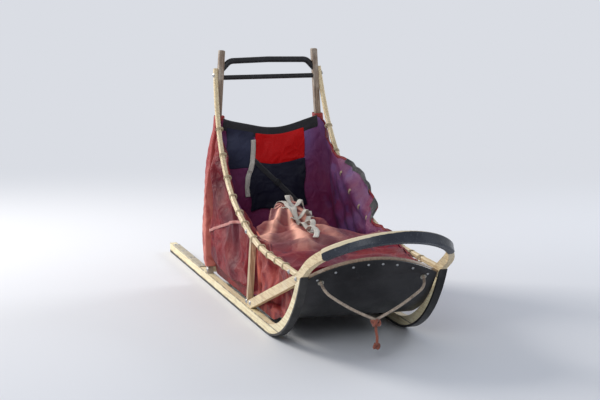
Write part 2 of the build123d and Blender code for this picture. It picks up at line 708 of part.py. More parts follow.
save("bridle_knot", knot)
end_knot = tail_knot()
save("bridle_tail", largest(rope(BRIDLE_TAIL, 1) - knot - end_knot))
save("tail_knot", end_knot)
save("bow_cover", bow_cover())
save("crosspiece_rear", crosspiece(POST_STATION, both_posts))
save("crosspiece_front", crosspiece(0, both_stanchions))
save("bed", bed_sheet)
save("front_crossbar", largest(crossbar))
save("driving_bow", driving_bow(both_posts))
save("lower_bar", lower_bar(both_posts))
shell = bag_shell()
save("bag_floor", bag_floor(shell))
save("bag_rear", bag_rear())
save("bag_hood", bag_hood(shell))
save("hinge_lugs", hinge_lugs())
save("hinge_pin", pin(HINGE_PIN_DIAMETER, HINGE_SPAN + 4 * LUG_THICKNESS + 2 * ARM_THICKNESS))
save("brake_arms", brake_arms())
save("brake_pedal", pedal_rod(PEDAL_DIAMETER) - pedal_rod(PEDAL_DIAMETER - 2 * PEDAL_WALL))
save("brake_claws", brake_claws())

claw_tip_back, claw_tip_drop = ARM_LENGTH, HINGE_LEVEL - (PEDAL_Z - CLAW_LENGTH)
claw_reach = hypot(claw_tip_back, claw_tip_drop)
rest_angle = asin(claw_tip_drop / claw_reach)
pressed_angle = asin((HINGE_LEVEL - CLAW_GROUND_GAP) / claw_reach)
print("brake turns down by", round(degrees(pressed_angle - rest_angle), 2), "degrees")
print("front stanchions at x", round(STANCHION_X, 3), "and hinge at x", round(at(HINGE_STATION), 3))
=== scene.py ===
"""Looks of the dog sled: its woods, plastics and metals, the rope bridle and the slack nylon bag.

Metres, in the frame of the CAD part: +X forward, +Y the sled's left, +Z up, ground at Z = 0.
A station is a distance ahead of the front stanchions, as in the part's own source.
"""
import math

import bpy
import numpy as np
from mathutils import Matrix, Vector, noise
from mathutils.bvhtree import BVHTree


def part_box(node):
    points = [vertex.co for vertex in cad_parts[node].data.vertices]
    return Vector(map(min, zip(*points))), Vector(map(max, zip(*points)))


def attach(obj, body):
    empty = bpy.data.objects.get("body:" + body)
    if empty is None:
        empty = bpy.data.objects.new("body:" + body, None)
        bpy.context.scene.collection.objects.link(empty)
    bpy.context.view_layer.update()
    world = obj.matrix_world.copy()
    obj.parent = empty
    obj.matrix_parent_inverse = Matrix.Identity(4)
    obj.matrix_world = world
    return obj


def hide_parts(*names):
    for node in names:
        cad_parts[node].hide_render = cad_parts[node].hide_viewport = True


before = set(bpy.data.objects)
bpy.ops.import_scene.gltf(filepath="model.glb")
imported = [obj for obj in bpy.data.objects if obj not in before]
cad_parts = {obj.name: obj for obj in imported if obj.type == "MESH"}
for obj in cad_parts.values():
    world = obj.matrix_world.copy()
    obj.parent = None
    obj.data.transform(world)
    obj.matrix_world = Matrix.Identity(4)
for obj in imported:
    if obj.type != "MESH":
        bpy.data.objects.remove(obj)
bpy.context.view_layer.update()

# Places read from the frame
STANCHION_LOW, STANCHION_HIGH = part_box("stanchion_right")
FRONT_X = (STANCHION_LOW.x + STANCHION_HIGH.x) / 2

# Rope bridle: (station, distance from the middle, height), as routed in the part, and the rope's make
ROPE_DIAMETER = 0.011
ROPE_STRANDS = 3
ROPE_LAY = 3.2
ROPE_AROUND = 24
ROPE_STEP = 0.0024
BRIDLE_LEG = [(0.76705, 0.200, 0.2945), (0.8067, 0.200, 0.2666), (0.808, 0.150, 0.228), (0.811, 0.072, 0.180),
              (0.812, 0.0, 0.148)]
BRIDLE_TAIL = [(0.812, 0.0, 0.132), (0.813, 0.001, 0.105), (0.818, 0.006, 0.076), (0.814, 0.003, 0.048)]

# Points round a turned bolt head and round a thin tube
TURNED_AROUND = 16
TUBE_AROUND = 8

# Uprights, rails and bed: distances and heights the soft pieces are held to
RUNNER_TOP = 0.045
POST_STATION = -0.69
POST_FOOT = 0.270
LEAN = math.tan(math.radians(3.5))
RAIL_LEVEL = 0.314
RAIL_LEVEL_END = 0.350
RAIL_BEND = -0.249
RAIL_BEND_LEVEL = 0.4305
SWEEP_RADIUS = 1.6
SWEEP_ANGLE = math.radians(22)
RISE_RADIUS = 0.75
BED_TOP = 0.083
BED_SIDE = 0.2525
CURL_START = 0.360
CURL_END = 0.800
CURL_RADIUS = 0.4975
PANEL_CROWN = 0.372
PANEL_HALF = 0.250
PANEL_RISE = 0.075

# Bag: (station, height) of its rims and, behind its folds, of the cover's middle; (place, levels at a right
# fold, the middle and a left fold) of the cover along the sled and of the rear panel up it
BAG_REAR = -0.655
BAG_TOE = 0.600
RIM_REAR = 0.740
RIM_RIGHT = [(BAG_REAR, RIM_REAR), (-0.600, 0.672), (-0.500, 0.580), (-0.390, 0.490), (-0.200, 0.410),
             (-0.080, 0.375), (-0.024, 0.360), (0.024, 0.356), (0.280, 0.335), (0.360, 0.326), (0.480, 0.313),
             (BAG_TOE, 0.300)]
RIM_LEFT = [(BAG_REAR, RIM_REAR), (-0.600, 0.676), (-0.500, 0.608), (-0.390, 0.567), (-0.200, 0.520),
            (-0.080, 0.436), (-0.024, 0.392), (0.024, 0.372), (0.280, 0.352), (0.360, 0.339), (0.480, 0.320),
            (BAG_TOE, 0.300)]
COVER_FOLDS = [(0.060, 0.370, 0.350, 0.374), (0.150, 0.342, 0.364, 0.342), (0.240, 0.356, 0.336, 0.358),
               (0.330, 0.331, 0.347, 0.333), (0.420, 0.335, 0.321, 0.331), (0.510, 0.316, 0.323, 0.315),
               (BAG_TOE, 0.300, 0.300, 0.300)]
REAR_FOLDS = [(0.0833, 0.0, 0.0, 0.0), (0.150, 0.008, 0.014, 0.006), (0.280, 0.018, 0.010, 0.016),
              (0.400, 0.010, 0.020, 0.009), (0.520, 0.017, 0.009, 0.015), (0.640, 0.008, 0.013, 0.007),
              (RIM_REAR, 0.0, 0.0, 0.0)]
COVER_MIDDLE = [(-0.30, 0.405), (-0.12, 0.372), (0.060, 0.350)]

# Cover of the bag's nose: the stations of its rear edge at places across it from -1 to 1, the share of its
# length that lies on top, and where its pleats run together, how many they are and how far round they start
COVER_EDGE_OVER = [-1.0, -0.70, -0.35, -0.08, 0.20, 0.45, 1.0]
COVER_EDGE_STATION = [-0.03, -0.11, -0.25, -0.25, -0.07, 0.08, 0.22]
COVER_ON_TOP = 0.86
COVER_PEAK = (-0.235, -0.051)
COVER_PLEATS = 8.0
COVER_PLEAT_TURN = 0.9

# Rear corners of the bag, round the posts: how far out their cloth may stand, its levels and points round it
SLEEVE_OUTER = 0.2985
SLEEVE_LEVELS = np.linspace(0.081, 0.748, 56)
SLEEVE_AROUND = 40

# Cloth grid of the bag: its stations, its places across, the shares of its walls' height (below 0 the skirt),
# and the columns of its right and left rear corners, counted from the toe back along the right side
STATIONS = np.linspace(BAG_REAR, BAG_TOE, 79)
ACROSS = np.linspace(-1, 1, 33)
WALL_SHARES = [-1.0, -0.5] + list(np.linspace(0, 1, 31))
FLOOR_ROW = 2
CLOTH_STEP = 0.016
CLOTH_THICKNESS = 0.0022
CLOTH_STIFFNESS = 8.0
SIDE_COLUMNS = len(STATIONS)
REAR_COLUMNS = len(ACROSS) - 2
REAR_FIRST = SIDE_COLUMNS - 1
LEFT_FIRST = SIDE_COLUMNS + REAR_COLUMNS

# Straps: their widths, how far they lie off the cloth, how far off they are cast from, and their section in
# shares of width and thickness; then their lines, as (station, height) of the seam tape, (distance from the
# middle, height) on the rear wall, (station, top, foot) on the left wall, and on the cover the (station,
# distance from the middle) of each loose one with its humps
STRAP_WIDTH = 0.022
SIDE_STRAP_WIDTH = 0.020
SEAM_TAPE_WIDTH = 0.013
STRAP_LIFT = 0.003
STRAP_CAST = 0.6
STRAP_THICKNESS = 0.0016
STRAP_SECTION = [(-0.5, -0.5), (-0.5, 0.5), (-0.17, 0.62), (0.17, 0.62), (0.5, 0.5), (0.5, -0.5),
                 (0.17, -0.5), (-0.17, -0.5)]
SEAM_LINE = [(-0.648, 0.240), (-0.53, 0.279), (-0.40, 0.316), (-0.28, 0.346), (-0.17, 0.357)]
HANGING_LINE = [(-0.079, 0.640), (-0.075, 0.575), (-0.093, 0.505), (-0.111, 0.457), (-0.103, 0.385)]
POCKET_LINE = [(-0.085, 0.560), (-0.02, 0.490), (0.055, 0.425), (0.140, 0.335)]
SIDE_STRAPS = [(-0.27, 0.475, 0.330), (-0.075, 0.375, 0.250)]
LOOSE_STRAPS = [
    ([(-0.28, -0.085), (-0.22, -0.050), (-0.15, -0.065), (-0.08, -0.030), (0.00, -0.045), (0.09, -0.020)],
     [(0.25, 0.018, 0.10), (0.72, 0.014, 0.12)]),
    ([(-0.26, -0.010), (-0.23, -0.060), (-0.17, -0.020), (-0.10, -0.060), (-0.04, -0.010), (0.03, -0.030)],
     [(0.15, 0.022, 0.10), (0.55, 0.020, 0.12)]),
    ([(-0.20, -0.085), (-0.16, -0.030), (-0.20, 0.020), (-0.12, 0.030), (-0.07, -0.020), (-0.09, -0.070)],
     [(0.35, 0.020, 0.12), (0.80, 0.018, 0.10)]),
    ([(-0.08, 0.020), (-0.03, -0.035), (0.04, 0.000), (0.09, -0.050), (0.14, -0.015)],
     [(0.50, 0.020, 0.16)]),
    ([(0.05, -0.030), (0.11, -0.060), (0.16, -0.020), (0.22, -0.055)], [(0.45, 0.016, 0.16)])]

# Hoop: the direction square to its plane, and how far along it the hoop's upper edge lies
HOOP_UP = (-math.sin(math.radians(31)), 0.0, math.cos(math.radians(31)))
HOOP_TOP = max(v.co.dot(Vector(HOOP_UP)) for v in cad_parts["bow_cover"].data.vertices)

# Camera where the photographer stood, turned on the sled
CAMERA_PLACE = (7.150, -2.084, 1.650)
CAMERA_TARGET = (0.0, 0.0, 0.440)
CAMERA_LENS = 108.0

SIDES = {"right": -1, "left": 1}


def at(station):
    """X of a distance ahead of the front stanchions."""
    return FRONT_X + station


def link(obj):
    """Puts an object into the scene."""
    bpy.context.scene.collection.objects.link(obj)
    return obj


def mesh_object(name, vertices, faces, materials=(), smooth=True, flat=None):
    """A mesh as an object; flat gives each vertex its place on the cloth laid flat, in metres."""
    mesh = bpy.data.meshes.new(name)
    mesh.from_pydata([tuple(v) for v in vertices], [], faces)
    mesh.update()
    if smooth:
        mesh.polygons.foreach_set("use_smooth", [True] * len(mesh.polygons))
    for material in materials:
        mesh.materials.append(material)
    if flat:
        layer = mesh.uv_layers.new(name="cloth")
        indices = np.empty(len(mesh.loops), dtype=np.int32)
        mesh.loops.foreach_get("vertex_index", indices)
        layer.data.foreach_set("uv", np.asarray(flat)[indices].astype(np.float32).ravel())
    return link(bpy.data.objects.new(name, mesh))


def make_camera():
    data = bpy.data.cameras.new("camera")
    data.lens = CAMERA_LENS
    data.sensor_width = 36.0
    camera = link(bpy.data.objects.new("camera", data))
    camera.location = CAMERA_PLACE
    look = Vector(CAMERA_TARGET) - Vector(CAMERA_PLACE)
    camera.rotation_euler = look.to_track_quat("-Z", "Y").to_euler()
    bpy.context.scene.camera = camera


def smooth_route(points):
    """Points along the smooth open line whose control points are the route given."""
    curve = bpy.data.curves.new("route", "CURVE")
    curve.dimensions = "3D"
    curve.resolution_u = 24
    spline = curve.splines.new("NURBS")
    spline.points.add(len(points) - 1)
    for slot, point in zip(spline.points, points):
        slot.co = (*point, 1.0)
    spline.order_u = 3
    spline.use_endpoint_u = True
    route = link(bpy.data.objects.new("route", curve))
    bpy.context.view_layer.update()
    mesh = bpy.data.meshes.new_from_object(route)
    line = [v.co.copy() for v in mesh.vertices]
    bpy.data.meshes.remove(mesh)
    bpy.data.objects.remove(route)
    return line


def travelled(line):
    """How far along a line each of its points is."""
    return np.r_[0, np.cumsum(np.linalg.norm(np.diff(line, axis=0), axis=1))]


def unit(rows):
    """Vectors, one a row, at length 1."""
    return rows / np.linalg.norm(rows, axis=1)[:, None]


def ring_round(place, side, up, angles, reach):
    """Points round a place in the plane of two directions, at one reach or one for each angle."""
    return place + np.outer(np.cos(angles) * reach, side) + np.outer(np.sin(angles) * reach, up)


def spread(points, spacing):
    """Points along a line at even steps of about the spacing given, ends kept."""
    line = np.array([tuple(p) for p in points])
    lengths = travelled(line)
    count = max(2, int(round(lengths[-1] / spacing)) + 1)
    wanted = np.linspace(0, lengths[-1], count)
    return np.stack([np.interp(wanted, lengths, line[:, axis]) for axis in range(3)], axis=1)


def frames_along(line, closed=False):
    """Two unit vectors square to a line at each of its points, carried along without twisting."""
    if closed:
        ahead = np.roll(line, -1, axis=0) - np.roll(line, 1, axis=0)
    else:
        ahead = np.gradient(line, axis=0)
    ahead = unit(ahead)
    side = np.cross(ahead[0], (0.31, 0.17, 0.93))
    sides = []
    for direction in ahead:
        side = side - direction * np.dot(side, direction)
        side = side / np.linalg.norm(side)
        sides.append(side)
    sides = np.array(sides)
    return sides, np.cross(ahead, sides)


def ring_faces(rings, around, closed=False, capped=True):
    """Faces of a skin of rings, one after another: closed joins the last ring to the first."""
    faces = []
    for ring in range(rings if closed else rings - 1):
        after = (ring + 1) % rings
        for spoke in range(around):
            beside = (spoke + 1) % around
            faces.append((ring * around + spoke, ring * around + beside,
                          after * around + beside, after * around + spoke))
    if capped and not closed:
        faces.append(tuple(range(around))[::-1])
        faces.append(tuple((rings - 1) * around + k for k in range(around)))
    return faces


def grid_faces(lines, points, flipped=False):
    """Faces of a sheet of lines that have the same number of points each."""
    faces = []
    for line in range(lines - 1):
        for point in range(points - 1):
            a = line * points + point
            face = (a, a + 1, a + points + 1, a + points)
            faces.append((face[0], face[3], face[2], face[1]) if flipped else face)
    return faces


def laid_rope(name, line, diameter, material, closed=False):
    """A twisted rope along a line, its strands lobes in the section that wind as they go."""
    line = np.asarray(line)
    sides, ups = frames_along(line, closed)
    lengths = travelled(line)
    turn = 2 * math.pi / (ROPE_LAY * diameter)
    if closed:
        whole = lengths[-1] + np.linalg.norm(line[0] - line[-1])
        turn = 2 * math.pi * max(1, round(whole / (ROPE_LAY * diameter))) / whole
    angles = np.linspace(0, 2 * math.pi, ROPE_AROUND, endpoint=False)
    vertices = []
    for place, side, up, far in zip(line, sides, ups, lengths):
        lobes = np.abs(np.cos(ROPE_STRANDS / 2 * (angles - far * turn))) ** 0.7
        vertices.extend(ring_round(place, side, up, angles, diameter / 2 * (0.93 + 0.10 * lobes)))
    return mesh_object(name, vertices, ring_faces(len(line), ROPE_AROUND, closed), [material])


def knot_line(centre, size, height, turn=0.0):
    """The closed line of an overhand knot pulled tight, standing on its axis."""
    steps = np.linspace(0, 2 * math.pi, 96, endpoint=False)
    x = (np.sin(steps) + 2 * np.sin(2 * steps)) / 3
    y = (np.cos(steps) - 2 * np.cos(2 * steps)) / 3
    z = -np.sin(3 * steps)
    across = x * math.cos(turn) - y * math.sin(turn)
    along = x * math.sin(turn) + y * math.cos(turn)
    return np.stack([centre[0] + across * size, centre[1] + along * size, centre[2] + z * height], axis=1)


def turned(profile, place, axis):
    """A turned shape: its profile of (radius, distance along the axis), closed at both ends."""
    spin = Vector(axis).to_track_quat("Z", "Y").to_matrix()
    vertices = []
    for radius, far in profile:
        for spoke in range(TURNED_AROUND):
            angle = 2 * math.pi * spoke / TURNED_AROUND
            point = Vector((radius * math.cos(angle), radius * math.sin(angle), far))
            vertices.append(spin @ point + Vector(place))
    return vertices, ring_faces(len(profile), TURNED_AROUND)


def gathered(name, shapes, material):
    """Several small shapes as one piece."""
    vertices, faces = [], []
    for shape_vertices, shape_faces in shapes:
        start = len(vertices)
        vertices.extend(shape_vertices)
        faces.extend(tuple(k + start for k in face) for face in shape_faces)
    return mesh_object(name, vertices, faces, [material])


def tube(line, radius, closed=False):
    """A plain round tube along a line."""
    line = np.asarray(line, float)
    sides, ups = frames_along(line, closed)
    angles = np.linspace(0, 2 * math.pi, TUBE_AROUND, endpoint=False)
    vertices = []
    for place, side, up in zip(line, sides, ups):
        vertices.extend(ring_round(place, side, up, angles, radius))
    return vertices, ring_faces(len(line), TUBE_AROUND, closed)


def rounded_loop(low, high, corner=2.6, steps=32):
    """A closed rounded rectangle in two directions, from one corner to the other."""
    turn = np.linspace(0, 2 * math.pi, steps, endpoint=False)
    first = np.sign(np.cos(turn)) * np.abs(np.cos(turn)) ** (2 / corner)
    second = np.sign(np.sin(turn)) * np.abs(np.sin(turn)) ** (2 / corner)
    return ((low[0] + high[0]) / 2 + first * (high[0] - low[0]) / 2,
            (low[1] + high[1]) / 2 + second * (high[1] - low[1]) / 2)


def joined_surface(meshes):
    """Meshes as one surface that a line can strike."""
    vertices, faces = [], []
    for mesh in meshes:
        start = len(vertices)
        vertices.extend(v.co.copy() for v in mesh.vertices)
        faces.extend(tuple(k + start for k in polygon.vertices) for polygon in mesh.polygons)
    return BVHTree.FromPolygons(vertices, faces)


def surface_of(*names):
    """CAD nodes as one surface."""
    return joined_surface([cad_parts[name].data for name in names])


def surface_of_pieces(*pieces):
    """Soft pieces as they look, with their thickness, as one surface."""
    graph = bpy.context.evaluated_depsgraph_get()
    meshes = [bpy.data.meshes.new_from_object(piece.evaluated_get(graph)) for piece in pieces]
    surface = joined_surface(meshes)
    for mesh in meshes:
        bpy.data.meshes.remove(mesh)
    return surface


def srgb(red, green, blue):
    """The linear colour of an 8-bit screen colour."""
    def linear(value):
        value /= 255
        return value / 12.92 if value <= 0.04045 else ((value + 0.055) / 1.055) ** 2.4
    return (linear(red), linear(green), linear(blue), 1.0)


class Level:
    """A value, colour or place in a shader. Each sum made with it adds a math node to its tree."""

    def __init__(self, tree, socket):
        self.tree = tree
        self.socket = socket

    def math(self, operation, other=0.0, clamp=False):
        return sums(self.tree, operation, self, other, clamp)

    def __add__(self, other):
        return self.math("ADD", other)

    def __sub__(self, other):
        return self.math("SUBTRACT", other)

    def __rsub__(self, other):
        return sums(self.tree, "SUBTRACT", other, self)

    def __mul__(self, other):
        return self.math("MULTIPLY", other)

    def __truediv__(self, other):
        return self.math("DIVIDE", other)

    def __rtruediv__(self, other):
        return sums(self.tree, "DIVIDE", other, self)

    def __or__(self, other):
        """The greater of two values."""
        return self.math("MAXIMUM", other)

    def __and__(self, other):
        """The lesser of two values."""
        return self.math("MINIMUM", other)

    def __abs__(self):
        return self.math("ABSOLUTE")

    def sine(self):
        return self.math("SINE")

    def step(self, low, high, bottom=0.0, top=1.0):
        """The value turned into a smooth step between two of its levels."""
        sockets = {"Value": self, "From Min": low, "From Max": high, "To Min": bottom, "To Max": top}
        return shade(self.tree, "ShaderNodeMapRange", sockets, interpolation_type="SMOOTHSTEP")

    def between(self, first, second):
        """The colour that is this share of the way from the first to the second."""
        return shade(self.tree, "ShaderNodeMix", {0: self, 6: first, 7: second}, 2, data_type="RGBA")

    def split(self):
        """The three parts of a place."""
        made = add(self.tree, "ShaderNodeSeparateXYZ", {0: self})
        return [Level(self.tree, socket) for socket in made.outputs]

    def mapped(self, scale, rotation=(0.0, 0.0, 0.0)):
        """The place turned and squeezed."""
        return shade(self.tree, "ShaderNodeMapping", {"Vector": self, "Rotation": rotation, "Scale": scale})

    def grain(self, scale, detail=3.0, roughness=0.5, distortion=0.0):
        """Smooth noise at the place."""
        sockets = {"Vector": self, "Scale": scale, "Detail": detail, "Roughness": roughness,
                   "Distortion": distortion}
        return shade(self.tree, "ShaderNodeTexNoise", sockets)


def add(tree, kind, sockets=None, **settings):
    """A shader node; a socket given a level is linked to it."""
    made = tree.nodes.new(kind)
    for name, value in settings.items():
        setattr(made, name, value)
    for key, value in (sockets or {}).items():
        if isinstance(value, Level):
            tree.links.new(value.socket, made.inputs[key])
        else:
            made.inputs[key].default_value = value
    return made


def shade(tree, kind, sockets=None, output=0, **settings):
    """What one output of a new shader node gives."""
    return Level(tree, add(tree, kind, sockets, **settings).outputs[output])


def sums(tree, operation, first, second, clamp=False):
    return shade(tree, "ShaderNodeMath", {0: first, 1: second}, operation=operation, use_clamp=clamp)


def connect(inputs, **levels):
    """Links levels to the sockets that have their names."""
    for name, level in levels.items():
        level.tree.links.new(level.socket, inputs[name.replace("_", " ")])


def new_group(name, inputs, outputs):
    """An empty shader group with named sockets: its tree, its inputs and its output node's sockets."""
    kinds = {"value": "NodeSocketFloat", "color": "NodeSocketColor", "vector": "NodeSocketVector"}
    group = bpy.data.node_groups.new(name, "ShaderNodeTree")
    for socket_name, kind, *usual in inputs:
        socket = group.interface.new_socket(name=socket_name, in_out="INPUT", socket_type=kinds[kind])
        if usual:
            socket.default_value = usual[0]
    for socket_name, kind in outputs:
        group.interface.new_socket(name=socket_name, in_out="OUTPUT", socket_type=kinds[kind])
    inner = group.nodes.new("NodeGroupInput").outputs
    given = {socket[0]: Level(group, inner[socket[0]]) for socket in inputs}
    return group, given, group.nodes.new("NodeGroupOutput").inputs


def place_group(tree, group, **sockets):
    """A group placed in a tree: what it gives, by name."""
    made = add(tree, "ShaderNodeGroup", sockets, node_tree=group)
    return {socket.name: Level(tree, socket) for socket in made.outputs}


def wood_grain_group():
    """Long fibres and growth lines; the vector comes in squeezed along the grain."""
    group, given, result = new_group("wood grain", [
        ("Vector", "vector"), ("Pale", "color", srgb(220, 200, 160)), ("Dark", "color", srgb(170, 138, 96)),
        ("Lines", "value", 0.5)], [("Color", "color"), ("Height", "value"), ("Roughness", "value")])
    rings = (given["Vector"].grain(1.0, 2.0, 0.45, 0.7) * 42.0).sine().step(-0.4, 1.0)
    fibres = given["Vector"].grain(9.0, 4.0, 0.6, 0.2).step(0.35, 0.70)
    share = (rings * given["Lines"]).math("ADD", fibres * 0.35, clamp=True)
    connect(result, Color=share.between(given["Pale"], given["Dark"]), Height=fibres * 0.6 + rings * 0.25,
            Roughness=fibres * 0.16 + 0.44)
    return group


def weathering_group():
    """Stains, bleached places and handling dirt laid over a colour."""
    group, given, result = new_group("weathering", [
        ("Vector", "vector"), ("Color", "color"), ("Stain", "color", srgb(92, 80, 70)),
        ("Bleach", "color", srgb(226, 220, 205)), ("Amount", "value", 0.5), ("Scale", "value", 6.0)],
        [("Color", "color"), ("Mask", "value")])
    wide = given["Vector"].grain(given["Scale"], 4.0, 0.6, 0.4)
    fine = given["Vector"].grain(given["Scale"] * 9.0, 3.0, 0.65)
    stains = wide.step(0.52, 0.72) * given["Amount"]
    bleached = wide.step(0.46, 0.28) * given["Amount"]
    specks = fine.step(0.60, 0.72) * given["Amount"]
    color = stains.between(given["Color"], given["Stain"])
    color = (bleached * 0.7).between(color, given["Bleach"])
    color = (specks * 0.5).between(color, given["Stain"])
    connect(result, Color=color, Mask=stains | specks)
    return group


def edge_rub_group():
    """Rubbed places near the edges of a bar: how far across and how far up it, each from -1 to 1."""
    group, given, result = new_group("edge rub", [
        ("Vector", "vector"), ("Across", "value"), ("Up", "value"), ("Amount", "value", 0.5)],
        [("Mask", "value")])
    corner = abs(given["Across"]) & abs(given["Up"])
    ragged = (given["Vector"].grain(38.0, 4.0, 0.65, 0.5) - 0.5) * 0.9
    connect(result, Mask=(corner + ragged).step(0.74, 0.98) * given["Amount"])
    return group


def scratches_group():
    """Long shallow scratches and dull scuffed places, for plastic and metal."""
    group, given, result = new_group("scratches", [
        ("Vector", "vector"), ("Scale", "value", 1.0), ("Amount", "value", 0.5)],
        [("Mask", "value"), ("Height", "value"), ("Roughness", "value")])
    vector, scale, amount = given["Vector"], given["Scale"], given["Amount"]
    first = vector.mapped((9.0, 160.0, 120.0), (0.25, 0.15, 0.4)).grain(scale, 2.0, 0.5, 0.3)
    second = vector.mapped((12.0, 190.0, 150.0), (0.6, -0.3, -0.8)).grain(scale, 2.0, 0.5, 0.3)
    dull = vector.grain(14.0, 4.0, 0.65, 0.3)
    marks = (first.step(0.62, 0.70) | second.step(0.64, 0.72)) * amount
    rough = dull.step(0.35, 0.70) * amount
    connect(result, Mask=marks * dull.step(0.42, 0.60), Height=marks * -1.0,
            Roughness=rough * 0.3 + marks * 0.15)
    return group


def weave_group():
    """Plain weave from flat cloth coordinates in metres, with a stronger thread at every eighth."""
    group, given, result = new_group("cloth weave", [
        ("Vector", "vector"), ("Thread", "value", 0.0012)], [("Height", "value"), ("Ripstop", "value")])
    x, y, _ = given["Vector"].split()
    turns = 2 * math.pi / given["Thread"]
    strong = turns / 8.0
    nearest = abs((x * strong).sine()) & abs((y * strong).sine())
    connect(result, Height=(x * turns).sine() * (y * turns).sine(), Ripstop=nearest.step(0.22, 0.05))
    return group


def creases_group():
    """Crumpled facets of thin coated cloth and long pull lines down it."""
    group, given, result = new_group("creases", [
        ("Vector", "vector"), ("Scale", "value", 9.0)], [("Height", "value"), ("Mask", "value")])
    sockets = {"Vector": given["Vector"], "Scale": 5.0, "Detail": 2.0}
    drift = shade(group, "ShaderNodeTexNoise", sockets, "Color")
    bent = shade(group, "ShaderNodeVectorMath", {0: drift, 3: 0.14}, operation="SCALE")
    bent = shade(group, "ShaderNodeVectorMath", {0: given["Vector"], 1: bent}, operation="ADD")
    facets, small = [shade(group, "ShaderNodeTexVoronoi", {"Vector": bent, "Scale": scale}, "Distance",
                           feature="DISTANCE_TO_EDGE") for scale in (given["Scale"], given["Scale"] * 2.7)]
    pulls = bent.mapped((20.0, 20.0, 3.0), (0.15, 0.25, 0.0)).grain(1.0, 2.0, 0.5, 0.3)
    height = facets.step(0.0, 0.22) * -0.55 + small.step(0.0, 0.25) * -0.25 + pulls * 1.3
    connect(result, Height=height, Mask=facets.step(0.035, 0.0))
    return group


GRAIN = wood_grain_group()
WEATHERING = weathering_group()
EDGE_RUB = edge_rub_group()
SCRATCHES = scratches_group()
WEAVE = weave_group()
CREASES = creases_group()


def new_material(name, **constants):
    """A material with constants on its shader's own sockets, its tree and the place on its object."""
    material = bpy.data.materials.new(name)
    material.use_nodes = True
    tree = material.node_tree
    shader = tree.nodes["Principled BSDF"]
    for socket, value in constants.items():
        shader.inputs[socket.replace("_", " ").title().replace("Ior", "IOR")].default_value = value
    return (material, shader), tree, shade(tree, "ShaderNodeTexCoord", output="Object")


def cloth_vector(tree):
    """The place on a piece of cloth laid flat, in metres."""
    return shade(tree, "ShaderNodeTexCoord", output="UV")


def finished(made, color, roughness, height, distance, strength=0.6, **more):
    """A material from new_material with its colour, roughness and relief linked."""
    material, shader = made
    sockets = {"Height": height, "Distance": distance, "Strength": strength}
    relief = shade(color.tree, "ShaderNodeBump", sockets)
    connect(shader.inputs, Base_Color=color, Roughness=roughness, Normal=relief, **more)
    return material


def wood_material(name, pale, dark, along, lines, amount, rub=None):
    """Varnished ash with its grain along one axis; rub gives a bar's (centre, half width) in Y and in Z."""
    made, tree, vector = new_material(name, coat_roughness=0.35, coat_weight=0.15)
    scale = [46.0, 46.0, 46.0]
    scale["XYZ".index(along)] = 2.2
    grain = place_group(tree, GRAIN, Vector=vector.mapped(scale), Pale=srgb(*pale), Dark=srgb(*dark),
                        Lines=lines)
    worn = place_group(tree, WEATHERING, Vector=vector, Color=grain["Color"], Amount=amount, Scale=7.0)
    color = worn["Color"]
    if rub:
        (middle_y, half_y), (middle_z, half_z) = rub
        _, y, z = vector.split()
        upward = (z - middle_z) / half_z
        rubbed = place_group(tree, EDGE_RUB, Vector=vector, Across=(abs(y) - middle_y) / half_y, Up=upward,
                             Amount=0.8)
        color = (rubbed["Mask"] * upward.step(1.25, 1.02)).between(color, srgb(104, 88, 74))
    return finished(made, color, grain["Roughness"] + worn["Mask"] * 0.2, grain["Height"], 0.0006)


def plastic_material(name, color, scuffed, roughness, amount, painted_glint_edge=None):
    """Moulded sheet or strip with scratches; the last argument is the hoop's own upward direction and its
    upper edge's level along it, where a cream band above the strip, widest on the right, is painted glint,
    partly bare wood."""
    made, tree, vector = new_material(name, ior=1.5, specular_ior_level=0.36)
    marks = place_group(tree, SCRATCHES, Vector=vector, Amount=amount)
    blotch = vector.grain(5.0, 4.0, 0.6).step(0.4, 0.7)
    tint = (blotch * 0.35).between(srgb(*color), srgb(*scuffed))
    tint = marks["Mask"].between(tint, srgb(*scuffed))
    # Cream band along the hoop's upper edge, widest on the right: painted glint, partly bare wood
    if painted_glint_edge:
        direction, upper = painted_glint_edge
        level = shade(tree, "ShaderNodeVectorMath", {0: vector, 1: direction}, "Value",
                      operation="DOT_PRODUCT")
        ragged = (vector.grain(24.0, 4.0, 0.6) - 0.5) * 0.007
        width = vector.split()[1].step(0.15, -0.24, 0.0010, 0.018) + ragged
        painted_glint = (upper - level - width).step(0.0006, -0.0006)
        tint = painted_glint.between(tint, srgb(226, 210, 176))
    relief = vector.grain(420.0, 2.0, 0.5) * 0.25 + marks["Height"]
    return finished(made, tint, marks["Roughness"] + roughness, relief, 0.0004, 0.5)


def metal_material(name, color, roughness, rust):
    """Bare metal with scratches and a little rust."""
    made, tree, vector = new_material(name)
    marks = place_group(tree, SCRATCHES, Vector=vector, Scale=1.6, Amount=0.7)
    spots = vector.grain(55.0, 5.0, 0.7, 0.4).step(0.56, 0.70) * rust
    tint = (marks["Mask"] * 0.5).between(srgb(*color), srgb(224, 224, 222))
    tint = spots.between(tint, srgb(104, 62, 40))
    return finished(made, tint, marks["Roughness"] + roughness + spots * 0.4, marks["Height"] + spots * 0.6,
                    0.0003, 0.5, Metallic=1.0 - spots * 0.9)


